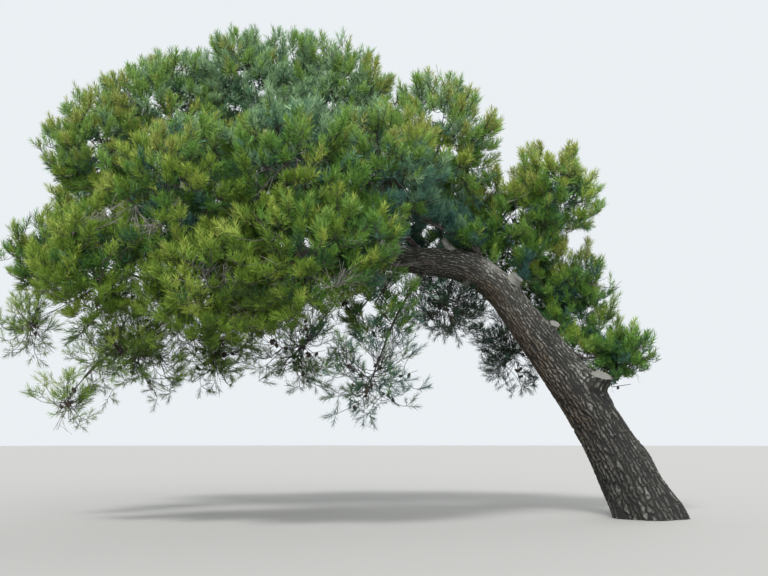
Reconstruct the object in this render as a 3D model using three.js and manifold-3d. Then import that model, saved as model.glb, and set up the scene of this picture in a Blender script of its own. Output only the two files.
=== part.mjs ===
// A leaning coastal pine, in millimetres, +Z up, with its origin in the middle of the flat cut under the trunk.
// The trunk leans towards -X, bends over and runs on as the leader through a wide, domed crown.
// Each bough carries one mass of foliage: twigs that branch from one stem, with sprays of needles on them.
import * as THREE from "three";
import { mergeVertices } from "three/addons/utils/BufferGeometryUtils.js";
import Module from "manifold-3d";

const wasm = await Module();
wasm.setup();

// Driving sizes of the trunk, measured along its middle line.
const TRUNK = {
  length: 8450,
  crownStart: 4600,
  footRadius: 350,
  crownRadius: 128,
  tipRadius: 24,
  flare: 60,
  flareFade: 330,
  buttresses: 5,
  buttressRise: 0.07,
  buttressFade: 420,
  belowGround: 300,
  sides: 16,
  steps: 32,
};
// The trunk's lean from upright, in degrees: at the foot, then what each bend adds between two lengths.
const FOOT_LEAN = 25;
const BENDS = [
  { from: 500, to: 2200, turn: 11 },
  { from: 2950, to: 4250, turn: 51 },
  { from: 4600, to: 7500, turn: -1 },
];
const SIDE_SWAY = 90;

// Boughs: a pipe of wood for each mass that hangs on one, and how they leave, lift and end. An open mass is
// light, and needs only a share of a pipe.
const BOUGH = {
  pipeRadius: 33,
  openShare: 0.2,
  tipRadius: 15,
  collar: 0.45,
  collarFade: 0.12,
  follow: 0.35,
  lift: 0.35,
  leaving: 0.35,
  arriving: 0.3,
  entry: 0.74,
  sides: 6,
  steps: 5,
};
const CLEARANCE = 0.4;
const SAMPLE_STEP = 70;

// Foliage: the sprays on a mass of 1 m radius, their length, and the core of a dense mass.
const SPRAYS_PER_SQUARE_METRE = 17;
const SPRAY = {
  length: 350,
  room: 75,
  core: 0.09,
  waist: 0.3,
  low: { along: 0.6, out: 0.4 },
  high: { along: 0.9, out: 0.27 },
};
const STEM = { rootRadius: 16, tipRadius: 12, sides: 4, steps: 5, leaving: 0.35, past: 0.1, bare: 0.25 };
const TWIG = { rootRadius: 8, tipRadius: 5, room: 25, arch: 0.3, scatter: 0.5 };
const CORE = { share: 0.7, lump: 0.12, room: 14, limbRoom: 20, shrink: 0.95, tries: 40 };
const REACH_TRIES = [1, 0.88, 0.76, 0.64];
const OUTWARD = 0.62;
const UPWARD = { dense: 0.55, open: 0.1 };
const GOLDEN_ANGLE = Math.PI * (3 - Math.sqrt(5));

// One row for each mass: what its bough leaves, and at which share of that limb's length, then the mass's
// middle and its reach. A dense mass has a core, and an open one is only twigs and sprays. A row without a
// bough is the leader's own tip, or a mass so near the trunk that its stem leaves the trunk's side.
const MASSES = [
  { name: "left_tip", on: "trunk", at: 1, middle: [-7340, -200, 3140], reach: 570, dense: true, bough: false },
  { name: "outer_left", on: "trunk", at: 0.78, middle: [-6770, -100, 4550], reach: 780, dense: true },
  { name: "front_left", on: "trunk", at: 0.745, middle: [-6310, -1450, 2810], reach: 740, dense: true },
  { name: "back_left", on: "trunk", at: 0.715, middle: [-7100, 1250, 4010], reach: 830, dense: true },
  { name: "top_left", on: "trunk", at: 0.625, middle: [-5940, 100, 5060], reach: 900, dense: true },
  { name: "top", on: "trunk", at: 0.575, middle: [-4840, 200, 5380], reach: 970, dense: true },
  { name: "top_right", on: "trunk", at: 0.5, middle: [-3820, 300, 5290], reach: 910, dense: true },
  { name: "shoulder", on: "trunk", at: 0.395, middle: [-2470, 100, 4740], reach: 910, dense: true },
  { name: "far_right", on: "trunk", at: 0.355, middle: [-960, 200, 4150], reach: 690, dense: true },
  { name: "right_mid", on: "trunk", at: 0.33, middle: [-1420, 600, 3750], reach: 770, dense: true, bough: false },
  { name: "right_low", on: "trunk", at: 0.285, middle: [-780, 750, 2840], reach: 670, dense: true },
  { name: "right_tip", on: "right_low", at: 0.35, middle: [-160, 600, 2030], reach: 540, dense: true },
  { name: "hang_right", on: "trunk", at: 0.405, middle: [-1430, 850, 2110], reach: 660, dense: false, bough: false },
  { name: "hang_inner", on: "trunk", at: 0.46, middle: [-2380, 350, 2680], reach: 620, dense: false, bough: false },
  { name: "front_right", on: "trunk", at: 0.48, middle: [-3450, -1450, 3110], reach: 590, dense: true },
  { name: "front_mid", on: "trunk", at: 0.56, middle: [-4050, -1800, 2830], reach: 730, dense: true },
  { name: "front_low", on: "trunk", at: 0.645, middle: [-5040, -1700, 2500], reach: 710, dense: true },
  { name: "front_high_left", on: "trunk", at: 0.695, middle: [-5400, -1550, 3630], reach: 830, dense: true },
  { name: "front_high", on: "trunk", at: 0.535, middle: [-4210, -1450, 3890], reach: 830, dense: true },
  { name: "front_high_right", on: "shoulder", at: 0.35, middle: [-3140, -1100, 4020], reach: 760, dense: true },
  { name: "back_mid_left", on: "trunk", at: 0.66, middle: [-5450, 1600, 4550], reach: 930, dense: true },
  { name: "back_mid_right", on: "trunk", at: 0.52, middle: [-3900, 1600, 4550], reach: 930, dense: true },
  { name: "back_right", on: "trunk", at: 0.425, middle: [-2400, 1550, 4030], reach: 870, dense: true },
  { name: "back_low", on: "trunk", at: 0.6, middle: [-4950, 1450, 3090], reach: 820, dense: true },
  { name: "under_end", on: "trunk", at: 0.545, middle: [-3260, -500, 2560], reach: 590, dense: true, bough: false },
  { name: "hang_mid", on: "trunk", at: 0.495, middle: [-3300, -700, 1650], reach: 680, dense: false },
  { name: "hang_centre", on: "trunk", at: 0.59, middle: [-4180, -600, 1960], reach: 640, dense: false, bough: false },
  { name: "hang_mid_left", on: "trunk", at: 0.66, middle: [-5130, -800, 1950], reach: 580, dense: false, bough: false },
  { name: "hang_front_left", on: "trunk", at: 0.72, middle: [-5960, -1000, 1910], reach: 650, dense: false },
  { name: "hang_left", on: "hang_front_left", at: 0.7, middle: [-6750, -900, 1370], reach: 420, dense: false },
  { name: "hang_tip", on: "trunk", at: 0.88, middle: [-7400, -450, 2290], reach: 470, dense: false, bough: false },
];

// Sawn stubs and one dead spur on the trunk: where they leave it, which way, how thick, and how far they stand out.
const STUB = { sides: 9, steps: 4, taperFrom: 0.45 };
const STUBS = [
  { name: "stub_low", along: 1620, way: [0.5, -0.55, 0.68], radius: 155, swell: 1.35, stand: 130 },
  { name: "stub_knot", along: 2490, way: [0.62, -0.45, 0.64], radius: 66, swell: 1.3, stand: 75 },
  { name: "stub_top", along: 3230, way: [0.61, -0.5, 0.62], radius: 85, swell: 1.3, stand: 105 },
  { name: "stub_under", along: 3680, way: [-0.47, -0.5, -0.73], radius: 46, swell: 1.25, stand: 70 },
  { name: "dead_spur", along: 3580, way: [-0.72, -0.22, 0.66], radius: 38, swell: 2.1, stand: 460 },
];

const BARK = new THREE.MeshStandardMaterial({ color: 0x5f5148, roughness: 0.95 });
const BOUGH_BARK = new THREE.MeshStandardMaterial({ color: 0x6b6158, roughness: 0.9 });
const SAWN_WOOD = new THREE.MeshStandardMaterial({ color: 0x8f8a7c, roughness: 0.85 });
const NEEDLES = new THREE.MeshStandardMaterial({ color: 0x4d6a1f, roughness: 0.6 });

// 0 before a, 1 after b, and a smooth step between them.
function ease(value, a, b) {
  const t = Math.min(1, Math.max(0, (value - a) / (b - a)));
  return t * t * (3 - 2 * t);
}

// A repeatable stream of numbers from 0 to 1.
function seeded(seed) {
  let state = Math.imul(seed, 2654435761) >>> 0;
  return () => {
    state = (Math.imul(state, 1664525) + 1013904223) >>> 0;
    return state / 4294967296;
  };
}

// The trunk's middle line, walked in short steps along its lean. Below the ground it runs on straight.
class TrunkLine extends THREE.Curve {
  constructor() {
    super();
    this.step = 10;
    this.walked = [new THREE.Vector3()];
    for (let along = 0; along < TRUNK.length; along += this.step) {
      const bent = BENDS.reduce((sum, bend) => sum + bend.turn * ease(along, bend.from, bend.to), FOOT_LEAN);
      const lean = THREE.MathUtils.degToRad(bent);
      const last = this.walked[this.walked.length - 1];
      const sway = SIDE_SWAY * Math.sin((Math.PI * 2 * (along + this.step)) / TRUNK.length);
      this.walked.push(
        new THREE.Vector3(last.x - Math.sin(lean) * this.step, sway, last.z + Math.cos(lean) * this.step),
      );
    }
  }

  // The point at a length along the trunk.
  pointAlong(along) {
    const place = Math.min(Math.max(along / this.step, 0), this.walked.length - 1.001);
    const index = Math.floor(place);
    const point = this.walked[index].clone().lerp(this.walked[index + 1], place - index);
    if (along < 0) point.addScaledVector(this.walked[5].clone().normalize(), along);
    return point;
  }

  getPoint(share, target = new THREE.Vector3()) {
    const along = -TRUNK.belowGround + share * (TRUNK.length + TRUNK.belowGround);
    return target.copy(this.pointAlong(along));
  }
}

function trunkRadius(along) {
  const { crownStart, footRadius, crownRadius, tipRadius, length, flare, flareFade } = TRUNK;
  if (along > crownStart) {
    return THREE.MathUtils.lerp(crownRadius, tipRadius, (along - crownStart) / (length - crownStart));
  }
  const straight = THREE.MathUtils.lerp(footRadius, crownRadius, Math.max(along, 0) / crownStart);
  return straight + flare * Math.exp(-Math.max(along, 0) / flareFade);
}

// A closed, tapering tube: a cylinder bent along a curve. radiusAt(share, angle) gives its radius, and its tip
// stands past the curve's end by the last length given.
function taperedTube(curve, radiusAt, sides, steps, past = 0) {
  const frames = curve.computeFrenetFrames(steps, false);
  const geometry = new THREE.CylinderGeometry(1, 1, 1, sides, steps);
  const places = geometry.getAttribute("position");
  for (let i = 0; i < places.count; i++) {
    const step = Math.round((places.getY(i) + 0.5) * steps);
    const across = places.getX(i);
    const over = -places.getZ(i);
    const radius = radiusAt(step / steps, Math.atan2(over, across));
    const point = curve
      .getPointAt(step / steps)
      .addScaledVector(frames.normals[step], across * radius)
      .addScaledVector(frames.binormals[step], over * radius)
      .addScaledVector(frames.tangents[step], step === steps ? past : 0);
    places.setXYZ(i, point.x, point.y, point.z);
  }
  return geometry;
}

// A solid for joining and cutting, from a geometry whose shared corners are merged first.
function solidOf(geometry) {
  const bare = new THREE.BufferGeometry().setAttribute("position", geometry.getAttribute("position"));
  bare.setIndex(geometry.getIndex());
  const merged = mergeVertices(bare, 1e-3);
  return new wasm.Manifold(
    new wasm.Mesh({
      numProp: 3,
      vertProperties: new Float32Array(merged.getAttribute("position").array),
      triVerts: new Uint32Array(merged.getIndex().array),
    }),
  );
}

// A named mesh from the largest piece of a solid, so that a loose scrap is dropped.
function meshOf(name, solid, material) {
  const pieces = solid.decompose().sort((a, b) => b.volume() - a.volume());
  const { vertProperties, triVerts } = pieces[0].getMesh();
  const geometry = new THREE.BufferGeometry();
  geometry.setAttribute("position", new THREE.BufferAttribute(vertProperties, 3));
  geometry.setIndex(new THREE.BufferAttribute(triVerts, 1));
  geometry.computeVertexNormals();
  const mesh = new THREE.Mesh(geometry, material);
  mesh.name = name;
  return mesh;
}

// A limb keeps its curve and its radius, so that others can branch from it, be cut clear of it, or miss it.
function makeLimb(name, curve, radiusAt, sides, steps) {
  const grown = (room) => (share, angle) => radiusAt(share, angle) + room / Math.cos(Math.PI / sides);
  const around = (room) => solidOf(taperedTube(curve, grown(room), sides, steps, room));
  const count = Math.ceil(curve.getLength() / SAMPLE_STEP);
  const samples = Array.from({ length: count + 1 }, (_, i) => ({
    point: curve.getPointAt(i / count),
    radius: radiusAt(i / count, 0),
  }));
  return { name, curve, samples, around, solid: around(0) };
}

function makeTrunk() {
  const curve = new TrunkLine();
  const whole = TRUNK.length + TRUNK.belowGround;
  const radiusAt = (share, angle) => {
    const along = share * whole - TRUNK.belowGround;
    const fade = Math.exp(-Math.max(along, 0) / TRUNK.buttressFade);
    const buttress = TRUNK.buttressRise * Math.cos(TRUNK.buttresses * angle) * fade;
    return trunkRadius(along) * (1 + buttress);
  };
  const limb = makeLimb("trunk", curve, radiusAt, TRUNK.sides, TRUNK.steps);
  limb.solid = limb.solid.trimByPlane([0, 0, 1], 0);
  limb.pointAt = (share) => curve.pointAlong(share * TRUNK.length);
  limb.wayAt = (share) => limb.pointAt(share + 0.004).sub(limb.pointAt(share - 0.004)).normalize();
  return limb;
}

// The pipes of wood in a mass's bough: for its own mass, and for those on the boughs that leave it.
function load(mass) {
  const own = mass.dense ? 1 : BOUGH.openShare;
  return MASSES.filter((other) => other.on === mass.name).reduce((sum, other) => sum + load(other), own);
}

// A bough leaves its parent partly along it, and ends where it enters its own mass.
function makeBough(mass, parent) {
  const start = parent.pointAt(mass.at);
  const middle = new THREE.Vector3(...mass.middle);
  const straight = middle.clone().sub(start).normalize();
  const leaving = parent.wayAt(mass.at).multiplyScalar(BOUGH.follow).add(straight).normalize();
  const lift = mass.dense ? BOUGH.lift : -BOUGH.lift;
  const entering = straight.clone().add(new THREE.Vector3(0, 0, lift)).normalize();
  const end = middle.clone().addScaledVector(entering, -mass.reach * BOUGH.entry);
  const span = end.distanceTo(start);
  const curve = new THREE.CubicBezierCurve3(
    start,
    start.clone().addScaledVector(leaving, span * BOUGH.leaving),
    end.clone().addScaledVector(entering, -span * BOUGH.arriving),
    end,
  );
  const rootRadius = BOUGH.pipeRadius * Math.sqrt(load(mass));
  const radiusAt = (share) =>
    THREE.MathUtils.lerp(rootRadius, BOUGH.tipRadius, share) +
    rootRadius * BOUGH.collar * Math.exp(-share / BOUGH.collarFade);
  const bough = makeLimb("bough_" + mass.name, curve, radiusAt, BOUGH.sides, BOUGH.steps);
  bough.pointAt = (share) => curve.getPointAt(share);
  bough.wayAt = (share) => curve.getTangentAt(share);
  return bough;
}

// How far outside a mass's own space a point lies, in mm: below 0 is inside. Two masses that meet
// share out the space between them by a flat face.
function outside(mass, point) {
  const own = point.distanceToSquared(mass.centre);
  let worst = Math.sqrt(own) - mass.reach;
  for (const other of MASSES) {
    if (other === mass) continue;
    const apart = mass.centre.distanceTo(other.centre);
    if (apart > mass.reach + other.reach) continue;
    const theirs = point.distanceToSquared(other.centre) - other.reach ** 2;
    worst = Math.max(worst, (own - mass.reach ** 2 - theirs) / (2 * apart));
  }
  return worst;
}

// The least gap between a point and the skin of any limb.
function gapToLimbs(point, limbs) {
  let least = Infinity;
  for (const limb of limbs) {
    for (const sample of limb.samples) {
      least = Math.min(least, point.distanceTo(sample.point) - sample.radius);
    }
  }
  return least;
}

// A twig of three sides along a curve, which swells at its end into the slim core of a spray of needles. Three
// needles stand out high on that core, round its tip, and a full spray has three more low on it.
function twigGeometry(curve, steps, way, turn, full) {
  const lean = new THREE.Vector3(0.31, 0.17, 0.94).cross(way).normalize().applyAxisAngle(way, turn);
  const third = (Math.PI * 2) / 3;
  const corners = [];
  const ring = (middle, axis, radius, offset) => {
    const side = lean.clone().addScaledVector(axis, -lean.dot(axis)).normalize();
    for (let j = 0; j < 3; j++) {
      const outward = side.clone().applyAxisAngle(axis, (j + offset) * third);
      corners.push(middle.clone().addScaledVector(outward, radius));
    }
  };
  for (let i = 0; i <= steps; i++) {
    const share = i / steps;
    const radius = THREE.MathUtils.lerp(TWIG.rootRadius, TWIG.tipRadius, share);
    ring(curve.getPoint(share), curve.getTangent(share), radius, 0);
  }
  const end = curve.getPoint(1);
  const along = (share) => end.clone().addScaledVector(way, share * SPRAY.length);
  ring(along(SPRAY.waist), way, SPRAY.core * SPRAY.length, 0);
  ring(along(SPRAY.high.along), way, SPRAY.high.out * SPRAY.length, 0.5);
  corners.push(along(1));
  const mouth = steps * 3;
  const [waist, high, tip, low] = [mouth + 3, mouth + 6, mouth + 9, mouth + 10];
  if (full) ring(along(SPRAY.low.along), way, SPRAY.low.out * SPRAY.length, 0.5);
  const faces = [[0, 2, 1]];
  for (let j = 0; j < 3; j++) {
    const next = (j + 1) % 3;
    for (let a = 0; a < mouth; a += 3) {
      faces.push([a + j, a + next, a + 3 + next], [a + j, a + 3 + next, a + 3 + j]);
    }
    if (full) {
      faces.push([mouth + j, mouth + next, low + j], [mouth + next, waist + next, low + j]);
      faces.push([waist + next, waist + j, low + j], [waist + j, mouth + j, low + j]);
    } else {
      faces.push([mouth + j, mouth + next, waist + next], [mouth + j, waist + next, waist + j]);
    }
    faces.push([waist + j, waist + next, high + j], [waist + next, tip, high + j], [tip, waist + j, high + j]);
  }
  const geometry = new THREE.BufferGeometry().setFromPoints(corners);
  geometry.setIndex(faces.flat());
  return { geometry, outer: corners.slice(waist), core: [0, 0.25, 0.5, 0.75].map(along) };
}

// Where a mass's stem starts, and which way it heads: just clear of its bough's tip or of the leader's tip, or
// from the trunk's middle line where it leaves the trunk's side.
function stemStart(mass, limbs) {
  const carrier = limbs[mass.name] ?? limbs.trunk;
  if (limbs[mass.name] || mass.at === 1) {
    const way = carrier.wayAt(1);
    return { start: carrier.pointAt(1).addScaledVector(way, CLEARANCE), way };
  }
  const start = carrier.pointAt(mass.at);
  return { start, way: mass.centre.clone().sub(start).normalize() };
}

// The twigs of a mass: one stem from where it starts to the middle, and twigs out to all sides of the space.
// The rule gives each twig its curve and its spray, and skips what would leave the space or touch a limb.
function growTwigs(mass, limbs) {
  const random = seeded(mass.seed);
  const { start, way } = stemStart(mass, limbs);
  const around = Object.values(limbs);
  const stem = new THREE.QuadraticBezierCurve3(
    start,
    start.clone().addScaledVector(way, mass.reach * STEM.leaving),
    mass.centre.clone().addScaledVector(way, mass.reach * STEM.past),
  );
  const twigs = [];
  const count = Math.round(SPRAYS_PER_SQUARE_METRE * (mass.reach / 1000) ** 2);
  const spin = random() * Math.PI * 2;
  const rise = mass.dense ? UPWARD.dense : UPWARD.open;
  for (let k = 0; k < count; k++) {
    const height = 1 - (2 * (k + 0.5)) / count;
    const ring = Math.sqrt(1 - height * height);
    const angle = spin + k * GOLDEN_ANGLE + (random() - 0.5) * TWIG.scatter;
    const out = new THREE.Vector3(Math.cos(angle) * ring, Math.sin(angle) * ring, height);
    const leave = stem.getPointAt(Math.ceil((STEM.bare + (1 - STEM.bare) * random()) * STEM.steps) / STEM.steps);
    const turn = random() * Math.PI * 2;
    const spray = out.clone().multiplyScalar(OUTWARD).add(new THREE.Vector3(0, 0, rise)).normalize();
    for (const share of REACH_TRIES) {
      const end = mass.centre.clone().addScaledVector(out, mass.reach * share).addScaledVector(spray, -SPRAY.length);
      const arched = end.clone().addScaledVector(spray, -mass.reach * TWIG.arch);
      const bend = mass.dense ? leave.clone().lerp(end, 0.5) : arched;
      const curve = new THREE.QuadraticBezierCurve3(leave, bend, end);
      const twig = twigGeometry(curve, mass.dense ? 1 : 2, spray, turn, !mass.dense);
      const fits =
        twig.outer.every((point) => outside(mass, point) < -1 && gapToLimbs(point, around) > TWIG.room) &&
        twig.core.every((point) => gapToLimbs(point, around) > SPRAY.room) &&
        curve.getPoints(8).every((point) => gapToLimbs(point, around) > TWIG.room);
      if (!fits) continue;
      twigs.push(twig.geometry);
      break;
    }
  }
  return { stem, twigs };
}

// A dense mass's core: a lumpy ball, smaller than the mass and kept to its space.
function coreSolid(mass, limbs) {
  const random = seeded(mass.seed + 500);
  const geometry = new THREE.IcosahedronGeometry(1, 1);
  geometry.deleteAttribute("normal");
  geometry.deleteAttribute("uv");
  const ball = mergeVertices(geometry, 1e-4);
  const places = ball.getAttribute("position");
  for (let i = 0; i < places.count; i++) {
    const out = new THREE.Vector3().fromBufferAttribute(places, i);
    let radius = mass.reach * CORE.share * (1 + CORE.lump * (2 * random() - 1));
    const point = new THREE.Vector3();
    for (let tries = 0; tries < CORE.tries; tries++) {
      point.copy(mass.centre).addScaledVector(out, radius);
      if (outside(mass, point) < -CORE.room) break;
      radius *= CORE.shrink;
    }
    places.setXYZ(i, point.x, point.y, point.z);
  }
  return Object.values(limbs)
    .filter((limb) => limb.samples.some((s) => s.point.distanceTo(mass.centre) < mass.reach * 0.8 + s.radius))
    .reduce((core, limb) => core.subtract(limb.around(CORE.limbRoom)), solidOf(ball));
}

// A mass's stem, core and twigs, fused. A stem that leaves the trunk's side is cut clear of the trunk.
function makeFoliage(mass, limbs) {
  const { stem, twigs } = growTwigs(mass, limbs);
  const thick = (share) => THREE.MathUtils.lerp(STEM.rootRadius, STEM.tipRadius, share);
  let solid = solidOf(taperedTube(stem, thick, STEM.sides, STEM.steps));
  if (mass.dense) solid = solid.add(coreSolid(mass, limbs));
  for (const twig of twigs) {
    solid = solid.add(solidOf(twig));
  }
  if (!limbs[mass.name] && mass.at < 1) solid = solid.subtract(limbs.trunk.around(CLEARANCE));
  return meshOf("foliage_" + mass.name, solid, NEEDLES);
}

// A stub leaves the trunk's middle line, swells like a collar where it meets the bark, and is cut clear of all limbs.
function makeStub(stub, limbs) {
  const way = new THREE.Vector3(...stub.way).normalize();
  const start = limbs.trunk.curve.pointAlong(stub.along);
  const length = trunkRadius(stub.along) + stub.stand;
  const line = new THREE.LineCurve3(start, start.clone().addScaledVector(way, length));
  const radiusAt = (share) => stub.radius * THREE.MathUtils.lerp(stub.swell, 1, ease(share, STUB.taperFrom, 1));
  const tube = solidOf(taperedTube(line, radiusAt, STUB.sides, STUB.steps));
  return Object.values(limbs).reduce((solid, limb) => solid.subtract(limb.around(CLEARANCE)), tube);
}

const tree = new THREE.Group();
tree.name = "leaning_pine";

MASSES.forEach((mass, index) => {
  mass.centre = new THREE.Vector3(...mass.middle);
  mass.seed = index + 1;
});
const limbs = { trunk: makeTrunk() };
tree.add(meshOf("trunk", limbs.trunk.solid, BARK));

for (const mass of MASSES.filter((row) => row.bough !== false)) {
  const bough = makeBough(mass, limbs[mass.on]);
  const before = Object.values(limbs);
  bough.solid = before.reduce((solid, limb) => solid.subtract(limb.around(CLEARANCE)), bough.solid);
  limbs[mass.name] = bough;
  tree.add(meshOf(bough.name, bough.solid, BOUGH_BARK));
}
for (const stub of STUBS) {
  tree.add(meshOf(stub.name, makeStub(stub, limbs), SAWN_WOOD));
}
for (const mass of MASSES) {
  tree.add(makeFoliage(mass, limbs));
}

export default tree;
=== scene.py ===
# %% [markdown]
# # A leaning coastal pine
#
# On the real object: one old pine that the sea wind has pushed over. Its thick trunk leaves the ground at a
# slant, bends over halfway up and runs on level under a wide domed crown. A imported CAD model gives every
# size. It could all be sculpted by eye, but then it would drift from that model. So each limb and each mass
# of foliage is worked out again here by the model's own rule, and then carried on to bark, twigs and
# needles.

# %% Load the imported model
import math

import bpy
import numpy as np
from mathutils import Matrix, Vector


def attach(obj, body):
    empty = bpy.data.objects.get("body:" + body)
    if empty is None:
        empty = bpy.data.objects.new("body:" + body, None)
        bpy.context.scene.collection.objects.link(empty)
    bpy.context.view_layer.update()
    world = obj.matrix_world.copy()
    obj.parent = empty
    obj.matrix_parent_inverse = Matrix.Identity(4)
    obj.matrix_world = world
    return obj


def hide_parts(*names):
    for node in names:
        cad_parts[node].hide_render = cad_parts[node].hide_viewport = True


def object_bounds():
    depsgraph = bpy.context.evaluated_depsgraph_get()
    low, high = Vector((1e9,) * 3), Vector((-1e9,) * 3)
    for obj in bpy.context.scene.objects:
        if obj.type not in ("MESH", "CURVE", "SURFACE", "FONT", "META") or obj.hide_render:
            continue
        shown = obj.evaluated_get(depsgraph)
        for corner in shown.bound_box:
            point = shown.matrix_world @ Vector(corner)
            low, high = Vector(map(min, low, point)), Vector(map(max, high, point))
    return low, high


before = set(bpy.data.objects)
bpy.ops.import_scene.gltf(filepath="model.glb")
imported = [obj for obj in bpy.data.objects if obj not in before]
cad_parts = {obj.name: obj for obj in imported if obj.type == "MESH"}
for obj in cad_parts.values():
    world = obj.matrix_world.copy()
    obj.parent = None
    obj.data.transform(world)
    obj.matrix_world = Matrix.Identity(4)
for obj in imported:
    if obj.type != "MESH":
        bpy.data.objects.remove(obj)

cad_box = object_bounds()
print("nodes in the packed model:", len(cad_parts))

# %% [markdown]
# ## Camera, floor and light
#
# On the real object: the picture was taken from low down, about eleven metres away, looking slightly up, so
# the horizon lies in the lower quarter. A camera can be aimed by a constraint, but typed numbers are easier
# to repeat. The floor is one large pale disc. The light is an even pale sky with one soft sun from high on
# the left and two weaker, softer ones that fill its shadows, because large soft lights suit foliage, which
# sparkles under a small lamp.

# %% Camera
CAMERA_PLACE = (-3.168, -11.11, 0.922)
LOOK_UP = 9.59
LENS = 42.19
bpy.ops.object.select_all(action="DESELECT")
bpy.ops.object.camera_add(location=CAMERA_PLACE, rotation=(math.radians(90 + LOOK_UP), 0, 0))
camera = bpy.context.object
camera.data.sensor_width = 36
camera.data.lens = LENS
camera.data.clip_end = 600
bpy.context.scene.camera = camera
print("camera lens", round(camera.data.lens, 2), "mm")

# %% Floor
FLOOR_RADIUS = 150


def new_material(name, colour, roughness):
    """A material whose colour and roughness are set on the shader's own sockets."""
    material = bpy.data.materials.new(name)
    material.use_nodes = True
    shader = material.node_tree.nodes["Principled BSDF"]
    shader.inputs["Base Color"].default_value = (*colour, 1)
    shader.inputs["Roughness"].default_value = roughness
    return material, shader


bpy.ops.object.select_all(action="DESELECT")
bpy.ops.mesh.primitive_circle_add(vertices=96, radius=FLOOR_RADIUS, fill_type="NGON", location=(-3.5, 0, 0))
floor = bpy.context.object
floor.name = "floor"
bpy.ops.object.transform_apply(location=True, rotation=True, scale=True)
floor_paint, floor_shader = new_material("pale_floor", (0.30, 0.295, 0.28), 0.9)
floor.data.materials.append(floor_paint)
print("floor radius", FLOOR_RADIUS, "m")

# %% Light
SKY_COLOUR = (0.83, 0.87, 0.90)
world = bpy.data.worlds.new("pale_sky")
bpy.context.scene.world = world
world.use_nodes = True
world.node_tree.nodes["Background"].inputs["Color"].default_value = (*SKY_COLOUR, 1)
world.node_tree.nodes["Background"].inputs["Strength"].default_value = 1.0
bpy.context.scene.view_settings.view_transform = "Standard"


def add_sun(name, strength, softness, tilt, turn):
    """A sun that shines down at tilt degrees from upright, from the side that turn gives."""
    bpy.ops.object.light_add(type="SUN", rotation=(math.radians(tilt), 0, math.radians(turn)))
    sun = bpy.context.object
    sun.name = name
    sun.data.energy = strength
    sun.data.angle = math.radians(softness)


add_sun("key_sun", 3.3, 14, 38, -28)
add_sun("front_fill", 1.5, 60, 62, 12)
add_sun("back_fill", 0.7, 50, 50, 150)

# %% [markdown]
# ## The limbs' middle lines
#
# On the real object: the trunk leans 25 degrees at the ground, leans more by steps, and turns over sharply
# at half its length. A line could be drawn by hand as a curve object. Here it is walked in short steps
# along its lean, by the same named numbers as in the model, so that the bark lies where the solid trunk
# does.


# %% Small tools
def unit(vectors):
    """Vectors of length 1 in the same directions."""
    return vectors / np.linalg.norm(vectors, axis=-1, keepdims=True)


def ease(value, a, b):
    """0 before a, 1 after b, and a smooth step between them."""
    t = np.clip((value - a) / (b - a), 0, 1)
    return t * t * (3 - 2 * t)


LAST_32_BITS = 0xFFFFFFFF


def seeded(seed):
    """A repeatable stream of numbers from 0 to 1, the same as in the model's source."""
    state = (seed * 2654435761) & LAST_32_BITS

    def draw():
        nonlocal state
        state = (state * 1664525 + 1013904223) & LAST_32_BITS
        return state / (LAST_32_BITS + 1)

    return draw


print("the rule's first number for seed 1 is", round(seeded(1)(), 4))
UP = np.array([0.0, 0.0, 1.0])
FRONT = np.array([0.0, -1.0, 0.0])
FULL_TURN = 2 * math.pi
GOLDEN_ANGLE = math.pi * (3 - math.sqrt(5))

# %% The trunk's line
TRUNK = {
    "length": 8.45, "crown_start": 4.6, "foot_radius": 0.35, "crown_radius": 0.128, "tip_radius": 0.024,
    "flare": 0.06, "flare_fade": 0.33, "buttresses": 5, "below_ground": 0.3,
}
FOOT_LEAN = 25
BENDS = [(0.5, 2.2, 11), (2.95, 4.25, 51), (4.6, 7.5, -1)]
SIDE_SWAY = 0.09
STEP = 0.01


def walk_trunk():
    """Points every STEP along the trunk's middle line."""
    along = np.arange(0, TRUNK["length"], STEP)
    lean = np.radians(FOOT_LEAN + sum(turn * ease(along, a, b) for a, b, turn in BENDS))
    sway = SIDE_SWAY * np.sin(FULL_TURN * (along + STEP) / TRUNK["length"])
    steps = np.stack([-np.sin(lean) * STEP, np.cos(lean) * STEP], axis=1)
    walked = np.zeros((len(along) + 1, 3))
    walked[1:, 0] = np.cumsum(steps[:, 0])
    walked[1:, 1] = sway
    walked[1:, 2] = np.cumsum(steps[:, 1])
    return walked


WALKED = walk_trunk()
FOOT_WAY = unit(WALKED[5])


def trunk_point(along):
    """Points at lengths along the trunk. Below the ground the line runs on straight."""
    along = np.atleast_1d(along)
    last = (len(WALKED) - 1) * STEP
    inside = np.clip(along, 0, last)
    lengths = np.arange(len(WALKED)) * STEP
    points = np.stack([np.interp(inside, lengths, WALKED[:, k]) for k in range(3)], axis=1)
    beyond = np.minimum(along, 0)[:, None] * FOOT_WAY
    return points + beyond


def trunk_radius(along):
    """The trunk's radius, with the flare at its foot."""
    along = np.maximum(along, 0)
    start, length = TRUNK["crown_start"], TRUNK["length"]
    lower = TRUNK["foot_radius"] + (TRUNK["crown_radius"] - TRUNK["foot_radius"]) * along / start
    lower = lower + TRUNK["flare"] * np.exp(-along / TRUNK["flare_fade"])
    share = (along - start) / (length - start)
    upper = TRUNK["crown_radius"] + (TRUNK["tip_radius"] - TRUNK["crown_radius"]) * share
    return np.where(along > start, upper, lower)


print("trunk tip at", trunk_point(TRUNK["length"])[0].round(2))

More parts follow.
